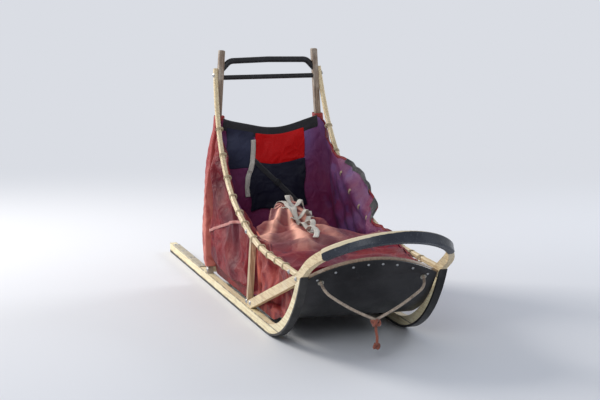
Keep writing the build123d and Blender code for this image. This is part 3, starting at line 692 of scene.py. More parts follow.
def nylon_material(name, base, faded, shaded, fade, roughness=0.50, painted_sunlight=None):
    """Coated pack cloth with a ripstop weave: darker in its crease valleys, which is painted shade, and in
    random patches of its own tone;
    paler on random faded patches and, as painted sunlight, where the last argument's mask says, from the
    parts of an object point;
    its crease lines a little paler, a painted highlight."""
    made, tree, vector = new_material(name, sheen_weight=0.02, sheen_roughness=0.4, specular_ior_level=0.22)
    weave = place_group(tree, WEAVE, Vector=cloth_vector(tree), Thread=0.0014)
    creases = place_group(tree, CREASES, Vector=vector, Scale=8.0)
    wide = vector.grain(3.4, 3.0, 0.55, 0.4)
    parts = vector.split()
    # Painted shade in the crease valleys, together with random darker patches of the cloth's own tone
    valleys = wide.step(0.60, 0.36) | creases["Height"].step(0.15, -0.35)
    valleys = valleys * parts[0].step(at(BAG_REAR), at(-0.60), 0.25, 0.75)
    color = valleys.between(srgb(*base), srgb(*shaded))
    share = vector.grain(2.6, 2.0, 0.5, 0.9).step(0.42, 0.70) * fade
    # Painted sunlight: the paler colour where the mask of sunlit places says
    if painted_sunlight:
        share = share.math("MAXIMUM", painted_sunlight(parts, creases["Height"]), clamp=True)
    color = share.between(color, srgb(*faded))
    # Crease lines a little paler: painted highlight
    color = (creases["Mask"] * 0.05).between(color, srgb(*faded))
    color = (weave["Ripstop"] * 0.12).between(color, srgb(*shaded))
    relief = creases["Height"] + (weave["Height"] + weave["Ripstop"]) * 0.03
    return finished(made, color, wide * 0.2 + (roughness - 0.1), relief, 0.006, 0.7)


def wall_painted_sunlight(parts, creases):
    """Painted sunlight on the side walls: ahead of the right stanchion and along the rear corners, most on
    the ridges of their creases.
    """
    x, y, z = parts
    ahead = x.step(at(-0.015), at(0.005)) * y.step(-0.18, -0.24)
    folds = ahead * creases.step(-0.05, 0.60, 0.0, 0.24)
    close = ahead * x.step(at(0.10), at(0.03)) * z.step(0.11, 0.20, 0.25, 1.0)
    close = close * creases.step(-0.30, 0.25, 0.25, 1.0)
    rear = x.step(at(-0.60), at(-0.66)) * creases.step(-0.3, 0.6, 0.05, 0.09)
    return folds | close | rear


def sleeve_painted_sunlight(parts, creases):
    """Painted sunlight on the rear corners, stronger towards their foot and on the ridges of their creases.
    """
    return parts[2].step(0.60, 0.28, 0.15, 0.68) * creases.step(-0.35, 0.45, 0.30, 1.0)


def cover_painted_sunlight(parts, creases):
    """Painted sunlight on the cover's heap and on a patch near its left rim, most on the ridges of the pleats
    that run together at its top and least in their valleys; the rest of the left part gets little, as painted
    shade.
    """
    x, y, _ = parts
    behind = x.step(at(0.44), at(0.10)) * y.step(0.09, -0.02, 0.10, 1.0)
    near_left = y.step(0.13, 0.17) * x.step(at(0.30), at(0.22)) * 0.8
    turn = (y - COVER_PEAK[1]).math("ARCTAN2", x - at(COVER_PEAK[0]))
    valley = abs((turn * COVER_PLEATS + COVER_PLEAT_TURN).sine())
    return (behind | near_left) * valley.step(0.80, 0.25, 0.16, 1.0) * creases.step(-0.40, 0.40, 0.50, 1.0)


def webbing_material(name, color, thread):
    """Flat woven strap: ribs across it from its own coordinates, frayed a little paler."""
    made, tree, vector = new_material(name, sheen_weight=0.3, sheen_roughness=0.5)
    weave = place_group(tree, WEAVE, Vector=cloth_vector(tree), Thread=0.0024)
    fuzz = vector.grain(60.0, 4.0, 0.6).step(0.45, 0.75)
    tint = (fuzz * 0.5).between(srgb(*color), srgb(*thread))
    return finished(made, tint, fuzz * 0.15 + 0.65, weave["Height"], 0.0006, 0.7)


def rope_material(name, color, pale, stain):
    """Laid rope: fibres along the strands, frayed pale on the crowns and dirty in places."""
    made, _, vector = new_material(name, sheen_weight=0.35, sheen_roughness=0.5)
    fibres = vector.grain(640.0, 2.0, 0.6, 0.4)
    dirt = vector.grain(34.0, 3.0, 0.6).step(0.42, 0.70)
    tint = fibres.step(0.40, 0.68).between(srgb(*color), srgb(*pale))
    return finished(made, (dirt * 0.65).between(tint, srgb(*stain)), fibres * 0.2 + 0.68, fibres, 0.0008, 0.8)


def ribbed_material(name, color, dark, step):
    """Moulded foot pad with ribs across it, darker between the ribs as painted shade."""
    made, tree, vector = new_material(name, ior=1.5)
    ribs = (vector.split()[0] * (2 * math.pi / step)).sine()
    worn = place_group(tree, WEATHERING, Vector=vector, Color=srgb(*color), Stain=srgb(*dark),
                       Bleach=srgb(236, 230, 214), Amount=0.7, Scale=12.0)
    # Darker between the ribs: painted shade in the grooves
    tint = (ribs.step(0.1, -0.7) * 0.55).between(worn["Color"], srgb(*dark))
    return finished(made, tint, worn["Mask"] * 0.2 + 0.55, ribs, 0.0012, 0.8)


def wrapped_grip_material(name, color, edge, step):
    """Bar bound with tape: the overlaps run round it a little askew."""
    made, tree, vector = new_material(name, ior=1.45)
    x, y, z = vector.split()
    lap = ((abs(y) + x * 0.35 + z * 0.3) / step).math("FRACT")
    worn = place_group(tree, WEATHERING, Vector=vector, Color=srgb(*color), Stain=srgb(10, 10, 12),
                       Bleach=srgb(*edge), Amount=0.6, Scale=16.0)
    tint = (lap.step(0.10, 0.0) * 0.5).between(worn["Color"], srgb(*edge))
    relief = lap + vector.grain(500.0, 2.0, 0.5) * 0.15
    return finished(made, tint, worn["Mask"] * 0.2 + 0.45, relief, 0.0010, 0.8)


ASH = wood_material("ash along", (234, 216, 176), (190, 158, 112), "X", 0.5, 0.35)
ASH_RUNNER = wood_material("ash runner", (248, 238, 200), (208, 182, 134), "X", 0.40, 0.30,
                           rub=((0.270, 0.015), (0.027, 0.018)))
ASH_ACROSS = wood_material("ash across", (214, 192, 150), (170, 138, 94), "Y", 0.5, 0.45)
ASH_BROWN = wood_material("ash grey brown", (156, 132, 110), (112, 88, 68), "X", 0.6, 0.55)
POST_WOOD = wood_material("ash upright", (150, 130, 112), (104, 84, 68), "Z", 0.6, 0.5)
STANCHION_WOOD = wood_material("ash stanchion", (204, 182, 146), (140, 112, 82), "Z", 0.6, 0.6)
SOLE = plastic_material("runner sole", (14, 14, 16), (96, 94, 92), 0.40, 0.5)
# The bow cover's cream upper edge is painted glint, partly bare wood
COVER = plastic_material("bow cover", (38, 43, 53), (96, 100, 108), 0.20, 0.4, painted_glint_edge=(HOOP_UP, HOOP_TOP))
BED = plastic_material("bed sheet", (15, 14, 17), (74, 72, 74), 0.28, 0.5)
GROMMET = metal_material("grommet", (176, 172, 160), 0.30, 0.2)
STEEL = metal_material("zinc steel", (176, 178, 180), 0.30, 0.25)
DARK_STEEL = metal_material("dark steel", (84, 84, 88), 0.36, 0.35)
TREAD = ribbed_material("tread pad", (206, 198, 178), (116, 106, 92), 0.016)
GRIP = wrapped_grip_material("taped bar", (26, 26, 29), (70, 70, 76), 0.019)
# Outside cloth of the bag, with painted sunlight on its walls and painted shade in its crease valleys
NYLON = nylon_material("bag outside", (124, 6, 24), (236, 126, 106), (70, 4, 30), 0.05, painted_sunlight=wall_painted_sunlight)
# Rear corners: a paler, lit copy of the outside cloth, with painted sunlight
SUNLIT_SLEEVE_NYLON = nylon_material("bag corner", (146, 24, 36), (228, 144, 128), (96, 12, 34), 0.20, painted_sunlight=sleeve_painted_sunlight)
# Inside of the bag: purple with many pale blue-purple blotches, the red cloth painted as if in shade, with
# painted sky reflection
LINING_IN_PAINTED_SHADE = nylon_material("bag lining", (118, 38, 78), (132, 104, 160), (100, 62, 112), 0.80, 0.48)
# Cover of the nose: its purple shaded colour and the little light on its left part are painted shade; its
# heap carries painted sunlight
CORAL = nylon_material("bag front", (128, 16, 38), (255, 186, 162), (76, 20, 52), 0.05, painted_sunlight=cover_painted_sunlight)
# Bright red panel on the rear wall's inside: painted light of sun shining through the cloth
SUNLIT_RED = nylon_material("bag red panel", (205, 6, 10), (226, 30, 28), (160, 4, 10), 0.25)
NAVY = nylon_material("bag pocket", (16, 16, 34), (46, 48, 68), (9, 9, 18), 0.35)
# Dark panel: its many pale blue-grey blotches are painted sheen
BLUE = nylon_material("bag dark panel", (36, 38, 60), (92, 98, 124), (18, 20, 38), 0.60)
HEM = webbing_material("black binding", (17, 17, 24), (54, 52, 62))
PALE_STRAP = webbing_material("pale webbing", (214, 207, 194), (156, 150, 144))
FADED_TAPE = webbing_material("faded tape", (196, 112, 104), (232, 196, 186))
BUCKLE = plastic_material("strap buckle", (18, 18, 20), (90, 90, 94), 0.35, 0.3)
ROPE_GREY = rope_material("bridle rope", (150, 130, 112), (200, 186, 168), (84, 66, 56))
ROPE_RED = rope_material("bridle tail rope", (132, 62, 44), (176, 104, 80), (74, 36, 30))
TWINE = rope_material("natural twine", (170, 150, 116), (208, 192, 158), (112, 92, 70))


def from_table(table, station):
    """A height read off a short table of (station, height)."""
    stations, heights = zip(*table)
    return float(np.interp(station, stations, heights))


def fold_share(rows, where, over, edges):
    """A value between the folds of a table: its rows by place, its columns at -0.5, 0 and 0.5 across."""
    places = [row[0] for row in rows]
    folds = [float(np.interp(where, places, [row[k] for row in rows])) for k in (1, 2, 3)]
    return float(np.interp(over, (-1, -0.5, 0, 0.5, 1), (edges[0], *folds, edges[1])))


def lean_offset(height):
    """Distance of the leaning posts from the middle at a height."""
    return POST_FOOT - (height - RUNNER_TOP) * LEAN


def rail_height(station):
    """Height of the hand rails' middle line: level in front, then rising ever more steeply to the posts."""
    if station >= RAIL_LEVEL_END:
        return RAIL_LEVEL
    if station >= RAIL_BEND:
        return RAIL_LEVEL + SWEEP_RADIUS - math.sqrt(SWEEP_RADIUS ** 2 - (RAIL_LEVEL_END - station) ** 2)
    sine = min(0.995, math.sin(SWEEP_ANGLE) + (RAIL_BEND - station) / RISE_RADIUS)
    return RAIL_BEND_LEVEL + RISE_RADIUS * (math.cos(SWEEP_ANGLE) - math.sqrt(1 - sine ** 2))


def rail_slope(station):
    """How steeply the hand rails rise towards the rear."""
    return (rail_height(station - 0.01) - rail_height(station + 0.01)) / 0.02


def off_rail(station, height):
    """How far a point is above the hand rail, square to it; below it the distance is negative."""
    slope = rail_slope(station)
    return (height - rail_height(station)) / math.sqrt(1 + slope * slope)


def bed_surface(station):
    """Top of the plastic bed, which curls up in front."""
    if station <= CURL_START:
        return BED_TOP
    return BED_TOP + CURL_RADIUS - math.sqrt(CURL_RADIUS ** 2 - (min(station, CURL_END) - CURL_START) ** 2)


def smooth(value, low, high):
    """A smooth step from 0 at one value to 1 at another."""
    share = min(1.0, max(0.0, (value - low) / (high - low)))
    return share * share * (3 - 2 * share)


def cloth_limit(station, height, side):
    """How far out the bag's side may stand: inside the uprights and the rail, looser between them."""
    frame_line = lean_offset(height)
    above = off_rail(station, height)
    spread_out = smooth(station, -0.62, -0.50) * smooth(station, 0.34, 0.26)
    if above > 0:
        flop = 0.057 if side > 0 else 0.010
        return frame_line + 0.0070 + flop * smooth(above, 0.017, 0.060) * spread_out
    free = 0.288 if station < 0 else 0.2565
    from_upright = smooth(abs(station), 0.022, 0.075) * smooth(abs(station - POST_STATION), 0.028, 0.060)
    tight = frame_line - 0.0150
    near_rail = frame_line + 0.0070
    outer = near_rail + (free - near_rail) * smooth(-above, 0.017, 0.070) * smooth(height, 0.05, 0.14)
    return max(tight, tight + (outer - tight) * from_upright)


def fold_wave(station, height, seed):
    """Long slanting folds of slack cloth, from -1 to 1."""
    warp = noise.noise((station * 3.1 + seed, height * 3.3, seed * 0.7))
    first = math.sin((station * 31 + height * 17) + warp * 5.5 + seed)
    second = math.sin((station * 19 - height * 29) + warp * 4.0 + seed * 2.3)
    third = noise.noise((station * 9.0, height * 8.0 + seed, seed))
    return 0.45 * first * abs(first) ** 0.3 + 0.30 * second + 0.45 * third


def bag_side_place(station, share, side):
    """A point of a side wall: share 0 at the bed's edge and 1 at the rim, and below 0 the skirt."""
    low = bed_surface(station) + 0.003
    if share < 0:
        depth = 0.034 if min(abs(station), abs(station - POST_STATION)) > 0.045 else 0.003
        depth = 0.003 + (depth - 0.003) * smooth(station, 0.42, 0.30)
        return Vector((at(station), side * BED_SIDE, low + share * depth))
    top = from_table(RIM_LEFT if side > 0 else RIM_RIGHT, station)
    height = low + (top - low) * share
    limit = cloth_limit(station, height, side)
    fill = 0.30 + 0.70 * math.sin(math.pi * min(1.0, share * 0.9 + 0.08)) ** 0.6
    reach = BED_SIDE + (limit - BED_SIDE) * smooth(height, low, low + 0.06) * fill
    above = off_rail(station, height)
    waves = 0.013
    if side > 0 and above > -0.03:
        reach += (limit - 0.003 - reach) * smooth(above, -0.03, 0.0)
        waves = 0.006
    reach += waves * fold_wave(station, height, 3.0 + side) * smooth(share, 0.0, 0.2) - 0.004 * share
    if share < 0.02:
        reach = BED_SIDE
    return Vector((at(station), side * min(reach, limit), height))


def bag_end_place(kind, over, share):
    """A point of the rear wall or of the toe, over from the right corner to the left one."""
    station = STATIONS[0] if kind == "rear" else STATIONS[-1]
    place = bag_side_place(station, share, -1).lerp(bag_side_place(station, share, 1), (over + 1) / 2)
    middle = (1 - over ** 2) * max(0.0, share)
    if kind == "rear":
        place.z -= 0.037 * middle * share
    else:
        place.z += 0.02 * middle
    return place


def build_bag():
    """The slack load bag as one shell: floor, sides with a skirt below the bed, rear wall and toe."""
    rows, last, far = len(WALL_SHARES), len(STATIONS) - 1, len(ACROSS) - 1
    columns = [("side", -1, i) for i in range(last, -1, -1)]
    columns += [("rear", 0, j) for j in range(1, far)]
    columns += [("side", 1, i) for i in range(0, last + 1)]
    columns += [("toe", 0, j) for j in range(far - 1, 0, -1)]
    shell = np.zeros((len(columns), rows, 3))
    for column, (kind, side, step) in enumerate(columns):
        for row, share in enumerate(WALL_SHARES):
            if kind == "side":
                shell[column, row] = bag_side_place(STATIONS[step], share, side)
            else:
                shell[column, row] = bag_end_place(kind, ACROSS[step], share)
    floor_index = {}
    vertices = [tuple(p) for p in shell.reshape(-1, 3)]
    flat = []
    for column, (kind, side, step) in enumerate(columns):
        flat.extend((column * CLOTH_STEP, shell[column, row, 2]) for row in range(rows))
        key = (step, 0 if side < 0 else far) if kind == "side" else (0 if kind == "rear" else last, step)
        floor_index[key] = column * rows + FLOOR_ROW
    for i in range(1, last):
        for j in range(1, far):
            floor_index[(i, j)] = len(vertices)
            ripple = 0.003 + 0.003 * fold_wave(STATIONS[i], ACROSS[j] * 0.25, 5.0)
            level = bed_surface(STATIONS[i]) + max(0.002, ripple)
            vertices.append((at(STATIONS[i]), BED_SIDE * ACROSS[j], level))
            flat.append((i * CLOTH_STEP, j * CLOTH_STEP))
    faces = []
    for column, (kind, *_) in enumerate(columns):
        after = (column + 1) % len(columns)
        first = 0 if kind == "side" and columns[after][0] == "side" else FLOOR_ROW
        for row in range(first, rows - 1):
            low, beside = column * rows + row, after * rows + row
            faces.append((low, low + 1, beside + 1, beside))
    for i in range(last):
        for j in range(far):
            corners = ((i, j), (i, j + 1), (i + 1, j + 1), (i + 1, j))
            faces.append(tuple(floor_index[corner] for corner in corners))
    bag = mesh_object("bag", vertices, faces, [NYLON, LINING_IN_PAINTED_SHADE], flat=flat)
    pinned = set(floor_index.values())
    for column, (kind, side, step) in enumerate(columns):
        low, top = column * rows, column * rows + rows - 1
        pinned.update((low, low + 1))
        if kind == "toe" or (kind == "side" and STATIONS[step] < BAG_REAR + 0.02):
            pinned.update(range(low, top + 1))
        elif kind == "side" and step % (9 if side < 0 else 4) == 2:
            pinned.add(top)
    return bag, shell.shape[:2], sorted(pinned)


def let_settle(piece, pinned, growth, frames, gravity=0.6, bending=0.4):
    """Cloth simulation from the built shape, its end shape kept as the piece's mesh."""
    scene = bpy.context.scene
    group = piece.vertex_groups.new(name="held")
    group.add(pinned, 1.0, "REPLACE")
    cloth = piece.modifiers.new("cloth", "CLOTH")
    settings = cloth.settings
    settings.quality = 6
    settings.mass = 0.30
    settings.air_damping = 3.0
    settings.tension_stiffness = CLOTH_STIFFNESS
    settings.compression_stiffness = CLOTH_STIFFNESS
    settings.shear_stiffness = CLOTH_STIFFNESS / 2
    settings.bending_stiffness = bending
    settings.vertex_group_mass = group.name
    settings.shrink_min = -growth
    settings.effector_weights.gravity = gravity
    cloth.collision_settings.use_collision = False
    cloth.point_cache.frame_start = 1
    cloth.point_cache.frame_end = frames
    for number in range(1, frames + 1):
        scene.frame_set(number)
    graph = bpy.context.evaluated_depsgraph_get()
    settled = bpy.data.meshes.new_from_object(piece.evaluated_get(graph))
    piece.modifiers.clear()
    piece.vertex_groups.clear()
    piece.data = settled
    scene.frame_set(1)


def thicken(piece, thickness, offset=-1.0, lining=0):
    """Gives a sheet its thickness and smooths it; lining is how many slots on the inner side's finish is."""
    solid = piece.modifiers.new("thickness", "SOLIDIFY")
    solid.thickness = thickness
    solid.offset = offset
    solid.material_offset = lining
    finer = piece.modifiers.new("smooth", "SUBSURF")
    finer.levels = 1
    finer.render_levels = 1


def read_places(mesh):
    places = np.empty(len(mesh.vertices) * 3)
    mesh.vertices.foreach_get("co", places)
    return places.reshape(-1, 3)


def write_places(mesh, places):
    mesh.vertices.foreach_set("co", places.ravel())
    mesh.update()


def keep_inside_frame(places):
    """Holds the bag's cloth off the uprights, the rails and the bed."""
    for place in places:
        station = place[0] - FRONT_X
        limit = cloth_limit(station, place[2], math.copysign(1, place[1]))
        place[1] = min(limit, max(-limit, place[1]))
        place[2] = max(place[2], bed_surface(station) + 0.002 if abs(place[1]) < 0.250 else 0.05)
    return places


def cloth_point(shell, column, row, lift=0.0):
    """A point of the bag's shell at a part column and row, lifted towards the load side."""
    count, top = shell.shape[0], shell.shape[1] - 1
    column %= count
    row = min(max(row, 0.0), top - 1e-6)
    c, r = int(column), int(row)
    share_c, share_r = column - c, row - r
    after = (c + 1) % count
    low = shell[c, r] * (1 - share_c) + shell[after, r] * share_c
    high = shell[c, r + 1] * (1 - share_c) + shell[after, r + 1] * share_c
    place = low * (1 - share_r) + high * share_r
    if not lift:
        return place
    inward = np.cross(shell[after, r] - shell[c, r] + shell[after, r + 1] - shell[c, r + 1], high - low)
    return place + inward / np.linalg.norm(inward) * lift


def wall_rows(shell, column, metres):
    """How many rows of the shell a width in metres is, at a column."""
    column = int(column) % shell.shape[0]
    return metres / max(1e-6, np.linalg.norm(shell[column, -1] - shell[column, -2]))


def ribbon(name, line, width, material, facing):
    """A flat strap along a line: its flat side turned to the directions given, one for each point."""
    line = np.asarray(line, float)
    ahead = unit(np.gradient(line, axis=0))
    across = unit(np.cross(ahead, np.asarray(facing, float)))
    outward = np.cross(across, ahead)
    vertices, flat = [], []
    for place, side, out, far in zip(line, across, outward, travelled(line)):
        for over, up in STRAP_SECTION:
            vertices.append(place + side * over * width + out * up * STRAP_THICKNESS)
            flat.append((far, over * width))
    return mesh_object(name, vertices, ring_faces(len(line), len(STRAP_SECTION)), [material], flat=flat)


def rim_binding(name, shell, first, last, width, lift, material):
    """A tape folded over the bag's edge, from one column to another."""
    top = shell.shape[1] - 1
    vertices, flat = [], []
    steps = np.linspace(first, last, max(2, int(abs(last - first) * 1.5)))
    for number, column in enumerate(steps):
        down = wall_rows(shell, column, width)
        fold = [(top - down, lift), (top - down * 0.5, lift * 1.25), (top - 0.05, lift), (top, 0.0),
                (top - 0.05, -lift * 1.6), (top - down * 0.5, -lift * 2.0), (top - down, -lift * 1.8)]
        for k, (row, up) in enumerate(fold):
            place = cloth_point(shell, column, row, up)
            if row == top:
                place = place + np.array((0, 0, lift))
            vertices.append(place)
            flat.append((number * 0.011, k * 0.01))
    piece = mesh_object(name, vertices, grid_faces(len(steps), len(fold)), [material], flat=flat)
    thicken(piece, 0.0014, 0.0)
    return piece


def cloth_patch(name, shell, first, last, low, high, lift, material, edge_wave):
    """A panel sewn on the inside of the bag, between two columns and two shares of the wall's height."""
    top = shell.shape[1] - 1
    across = np.linspace(first, last, max(3, int(abs(last - first) * 1.6)))
    upward = np.linspace(0, 1, 14)
    vertices, flat = [], []
    for i, column in enumerate(across):
        waver = edge_wave * math.sin(i * 0.31 + first)
        for share in upward:
            row = (low + waver * (1 - share) + (high - low) * share) * top
            puff = lift * (1.0 + 0.8 * math.sin(math.pi * share) * math.sin(math.pi * i / (len(across) - 1)))
            vertices.append(cloth_point(shell, column, row, puff))
            flat.append((i * 0.010, share * 0.2))
    faces = grid_faces(len(across), len(upward), flipped=True)
    piece = mesh_object(name, vertices, faces, [material], flat=flat)
    thicken(piece, 0.0016, 1.0)
    return piece


def post_sleeve(name, side):
    """The cloth of the bag's rear corner, sewn round the post and gathered above the runner."""
    vertices, flat = [], []
    for level in SLEEVE_LEVELS:
        full = math.sin(math.pi * min(1.0, max(0.0, (level - 0.06) / 0.62))) ** 0.7
        top_pull = smooth(level, 0.60, 0.74)
        half_x = 0.0340 + 0.010 * full - 0.004 * top_pull
        half_y = 0.0215 + 0.0135 * full
        gathered_in = 0.16 * smooth(level, 0.108, 0.081)
        centre_y = lean_offset(level) + 0.002 + 0.008 * full - 0.004 * top_pull
        centre_x = at(POST_STATION) + 0.003 * top_pull
        for spoke in range(SLEEVE_AROUND):
            angle = 2 * math.pi * spoke / SLEEVE_AROUND
            x, y = math.cos(angle), math.sin(angle)
            power = 6.0 if x > 0 else 2.6
            stretch = (abs(x) ** power + abs(y) ** power) ** (-1 / power)
            gather = 1 - gathered_in * smooth(x, 0.6, -0.2)
            crease = fold_wave(angle * 0.10 + side, level * 0.9, 11.0 + side) * 0.10 * (0.3 + full)
            crease += 0.05 * math.sin(level * 150 + 2.5 * math.sin(angle * 2 + level * 9)) * full
            reach = stretch * gather * (1 + crease)
            out = centre_y + y * half_y * reach
            ahead = min(centre_x + x * half_x * reach, at(BAG_REAR) - 0.0010)
            vertices.append((ahead, side * min(out, SLEEVE_OUTER), level))
            flat.append((angle * 0.035, level))
    faces = ring_faces(len(SLEEVE_LEVELS), SLEEVE_AROUND, capped=False)
    if side < 0:
        faces = [face[::-1] for face in faces]
    piece = mesh_object(name, vertices, faces, [SUNLIT_SLEEVE_NYLON], flat=flat)
    thicken(piece, 0.0025)
    return piece


def ridge_fan(along, up, count, seed, sharp=0.75):
    """Folds that fan out from a point: sharp ridges with wide valleys, from -1 to 1."""
    angle = math.atan2(up, along) + 0.10 * noise.noise((along * 4 + seed, up * 4, seed))
    return 1 - 2 * abs(math.sin(angle * count + seed)) ** sharp


def draw_folds(shell):
    """Tension folds of the walls: they fan out from the feet of the stanchions and from the rear corners."""
    rows = shell.shape[1]
    for first, side in ((0, -1), (LEFT_FIRST, 1)):
        for column in range(first, first + SIDE_COLUMNS):
            for row in range(FLOOR_ROW + 1, rows):
                place = shell[column, row]
                place[1] += side * wall_fold(place, (row - FLOOR_ROW) / (rows - 1 - FLOOR_ROW), side)
    return shell


def wall_fold(place, share, side):
    """How far a wall's folds stand out at a place, at a share of the wall's height."""
    station, height = place[0] - FRONT_X, place[2]
    inside = smooth(share, 0.0, 0.12) * smooth(share, 1.0, 0.86)
    inside *= smooth(abs(station), 0.015, 0.07) * smooth(station, -0.655, -0.60) * smooth(station, 0.56, 0.40)
    if station > 0:
        drawn = ridge_fan(station + 0.02, height - 0.06, 9.0, 0.6 + side)
        return inside * (0.010 * drawn * smooth(math.hypot(station, height - 0.06), 0.05, 0.20))
    low_fan = ridge_fan(-station + 0.02, height - 0.06, 6.5, 1.7 + side)
    high_fan = ridge_fan(station + 0.70, 0.62 - height, 7.5, 0.3 + side)
    blend = smooth(height - (0.235 + 0.27 * (station + 0.65)), -0.04, 0.04)
    return inside * (0.010 * (low_fan * (1 - blend) + high_fan * blend))


def hang_rear(shell):
    """The rear panel's own slack: long folds that hang back from the straight line between its corners."""
    for step in range(REAR_COLUMNS):
        over = 2 * (step + 1) / (REAR_COLUMNS + 1) - 1
        for row in range(FLOOR_ROW, shell.shape[1]):
            place = shell[SIDE_COLUMNS + step, row]
            share = (row - FLOOR_ROW) / (shell.shape[1] - 1 - FLOOR_ROW)
            low = BED_TOP + 0.003
            top = RIM_REAR - 0.046 * (1 - over * over) - 0.004 * math.sin(over * 5 + 1)
            place[2] = low + (top - low) * share
            settled = place[0] - at(BAG_REAR)
            hung = fold_share(REAR_FOLDS, place[2], over, (0.0, 0.0))
            ripple = 0.0045 * fold_wave(over * 0.35, place[2] * 1.2, 9.0) * smooth(share, 0.0, 0.1)
            edge = smooth(1 - abs(over), 0.0, 0.12)
            place[0] = at(BAG_REAR) + edge * (0.004 + 0.25 * max(-0.02, min(0.02, settled)) - hung + ripple)
    return shell


def rim_point(shell, side, station):
    """A point of the bag's settled rim on one side, at a station."""
    first = 0 if side < 0 else LEFT_FIRST
    rim = shell[first:first + SIDE_COLUMNS, -1]
    rim = rim[np.argsort(rim[:, 0])]
    x = at(station)
    return np.array([x, np.interp(x, rim[:, 0], rim[:, 1]), np.interp(x, rim[:, 0], rim[:, 2])])


def front_cover_place(shell, along, over):
    """A point of the slack front cover: along runs back from the toe, over runs from right to left."""
    rear_edge = float(np.interp(over, COVER_EDGE_OVER, COVER_EDGE_STATION))
    on_top = min(1.0, along / COVER_ON_TOP)
    hanging = max(0.0, along - COVER_ON_TOP) / (1 - COVER_ON_TOP)
    station = BAG_TOE - 0.002 + (rear_edge - BAG_TOE) * on_top
    side = math.copysign(1, over)
    rim = rim_point(shell, side, station)
    middle = from_table(COVER_MIDDLE, station)
    bowed = abs(over) ** 1.7
    height = middle + (rim[2] - middle) * bowed
    if station > 0.0:
        folded = fold_share(COVER_FOLDS, station, over, (rim[2], rim[2]))
        height += (folded - height) * smooth(station, 0.0, 0.06)
    reach = abs(rim[1]) - 0.004 - 0.006 * smooth(station, 0.05, -0.10)
    edge = smooth(1 - abs(over), 0.0, 0.25)
    front = smooth(along, 0.0, 0.15)
    warp = noise.noise((station * 2.6 + 7, over * 0.8, 2.0)) * 3.2
    ridge = math.sin(station * 44 - over * 5.2 + warp)
    ridge = math.copysign(abs(ridge) ** 0.8, ridge)
    second = math.sin(station * 17 + over * 6.0 + warp * 1.6 + 1.0)
    slack = 1 + 0.6 * smooth(station, 0.10, -0.10)
    height += (0.007 * ridge + 0.005 * second) * edge * front * slack
    height += 0.022 * smooth(station, 0.02, -0.16) * edge * (1 - hanging)
    height -= 0.115 * hanging ** 1.4 * edge
    station -= 0.035 * math.sin(hanging * 2.4) * edge
    return Vector((at(station), over * reach, max(height, bed_surface(station) + 0.012)))


def pleated(places):
    """Draws the cover's sharp folds, which run together at the top of its heap."""
    for place in places:
        station, over = place[0] - FRONT_X, place[1]
        from_peak = math.hypot(station + 0.23, over + 0.05)
        drawn = ridge_fan(station - COVER_PEAK[0], over - COVER_PEAK[1], COVER_PLEATS, COVER_PLEAT_TURN)
        inside = smooth(from_peak, 0.03, 0.14) * smooth(station, 0.52, 0.20) * smooth(abs(over), 0.225, 0.17)
        place[2] += 0.011 * drawn * inside
    return places


def build_front_cover(shell):
    """The cover of the bag's nose: one slack sheet from rim to rim whose rear falls into the hold."""
    along, across = 92, 56
    vertices, flat, held = [], [], []
    for i in range(along + 1):
        for j in range(across + 1):
            if j in (0, across) or i == 0 or (i % 18 == 9 and j % 28 == 14):
                held.append(len(vertices))
            vertices.append(front_cover_place(shell, i / along, 2 * j / across - 1))
            flat.append((i * 0.0105, j * 0.0090))
    faces = grid_faces(along + 1, across + 1)
    cover = mesh_object("bag_front_cover", vertices, faces, [CORAL, LINING_IN_PAINTED_SHADE], flat=flat)
    return cover, held


# Cord loops on the rails: their stations, the cord's radius and how far apart its turns lie
TIE_STATIONS = (-0.585, -0.50, -0.40, -0.29, -0.17, -0.07, 0.09, 0.20, 0.32, 0.44, 0.55)
TIE_RADIUS = 0.0018
TIE_PITCH = 0.0038

# Bolt heads as (radius, distance along the axis); the joints' bolts as (station, height), the foot pads' and
# the bed's screws as (station, distance from the middle), and the panel's rivets as distances from the middle
BOLT_HEAD = [(0.0100, -0.0004), (0.0100, 0.0010), (0.0092, 0.0014), (0.0066, 0.0014), (0.0066, 0.0036),
             (0.0054, 0.0052), (0.0028, 0.0060), (0.0006, 0.0062)]
SMALL_HEAD = [(0.0052, -0.0004), (0.0052, 0.0008), (0.0044, 0.0019), (0.0024, 0.0026), (0.0005, 0.0028)]
JOINT_BOLTS = [(0.0, rail_height(0.0)), (0.0, 0.064), (POST_STATION, 0.062), (POST_STATION, 0.925),
               (POST_STATION, 0.885), (0.055, 0.068), (0.640, 0.312), (0.725, 0.300)]
PAD_SCREWS = [(t, y) for t in (-1.372, -1.204, -1.036, -0.852) for y in (0.262, 0.278)]
BED_SCREWS = [(t, y) for t in (POST_STATION, 0.0) for y in (-0.19, -0.07, 0.07, 0.19)]
PANEL_RIVETS = (-0.215, -0.15, -0.085, -0.028, 0.028, 0.085, 0.15, 0.215)


def bolt(surface, origin, direction, profile=BOLT_HEAD):
    """A bolt head where a line strikes a surface."""
    place, normal, *_ = surface.ray_cast(Vector(origin), Vector(direction).normalized())
    if normal.dot(Vector(direction)) > 0:
        normal = -normal
    return turned(profile, place, normal)


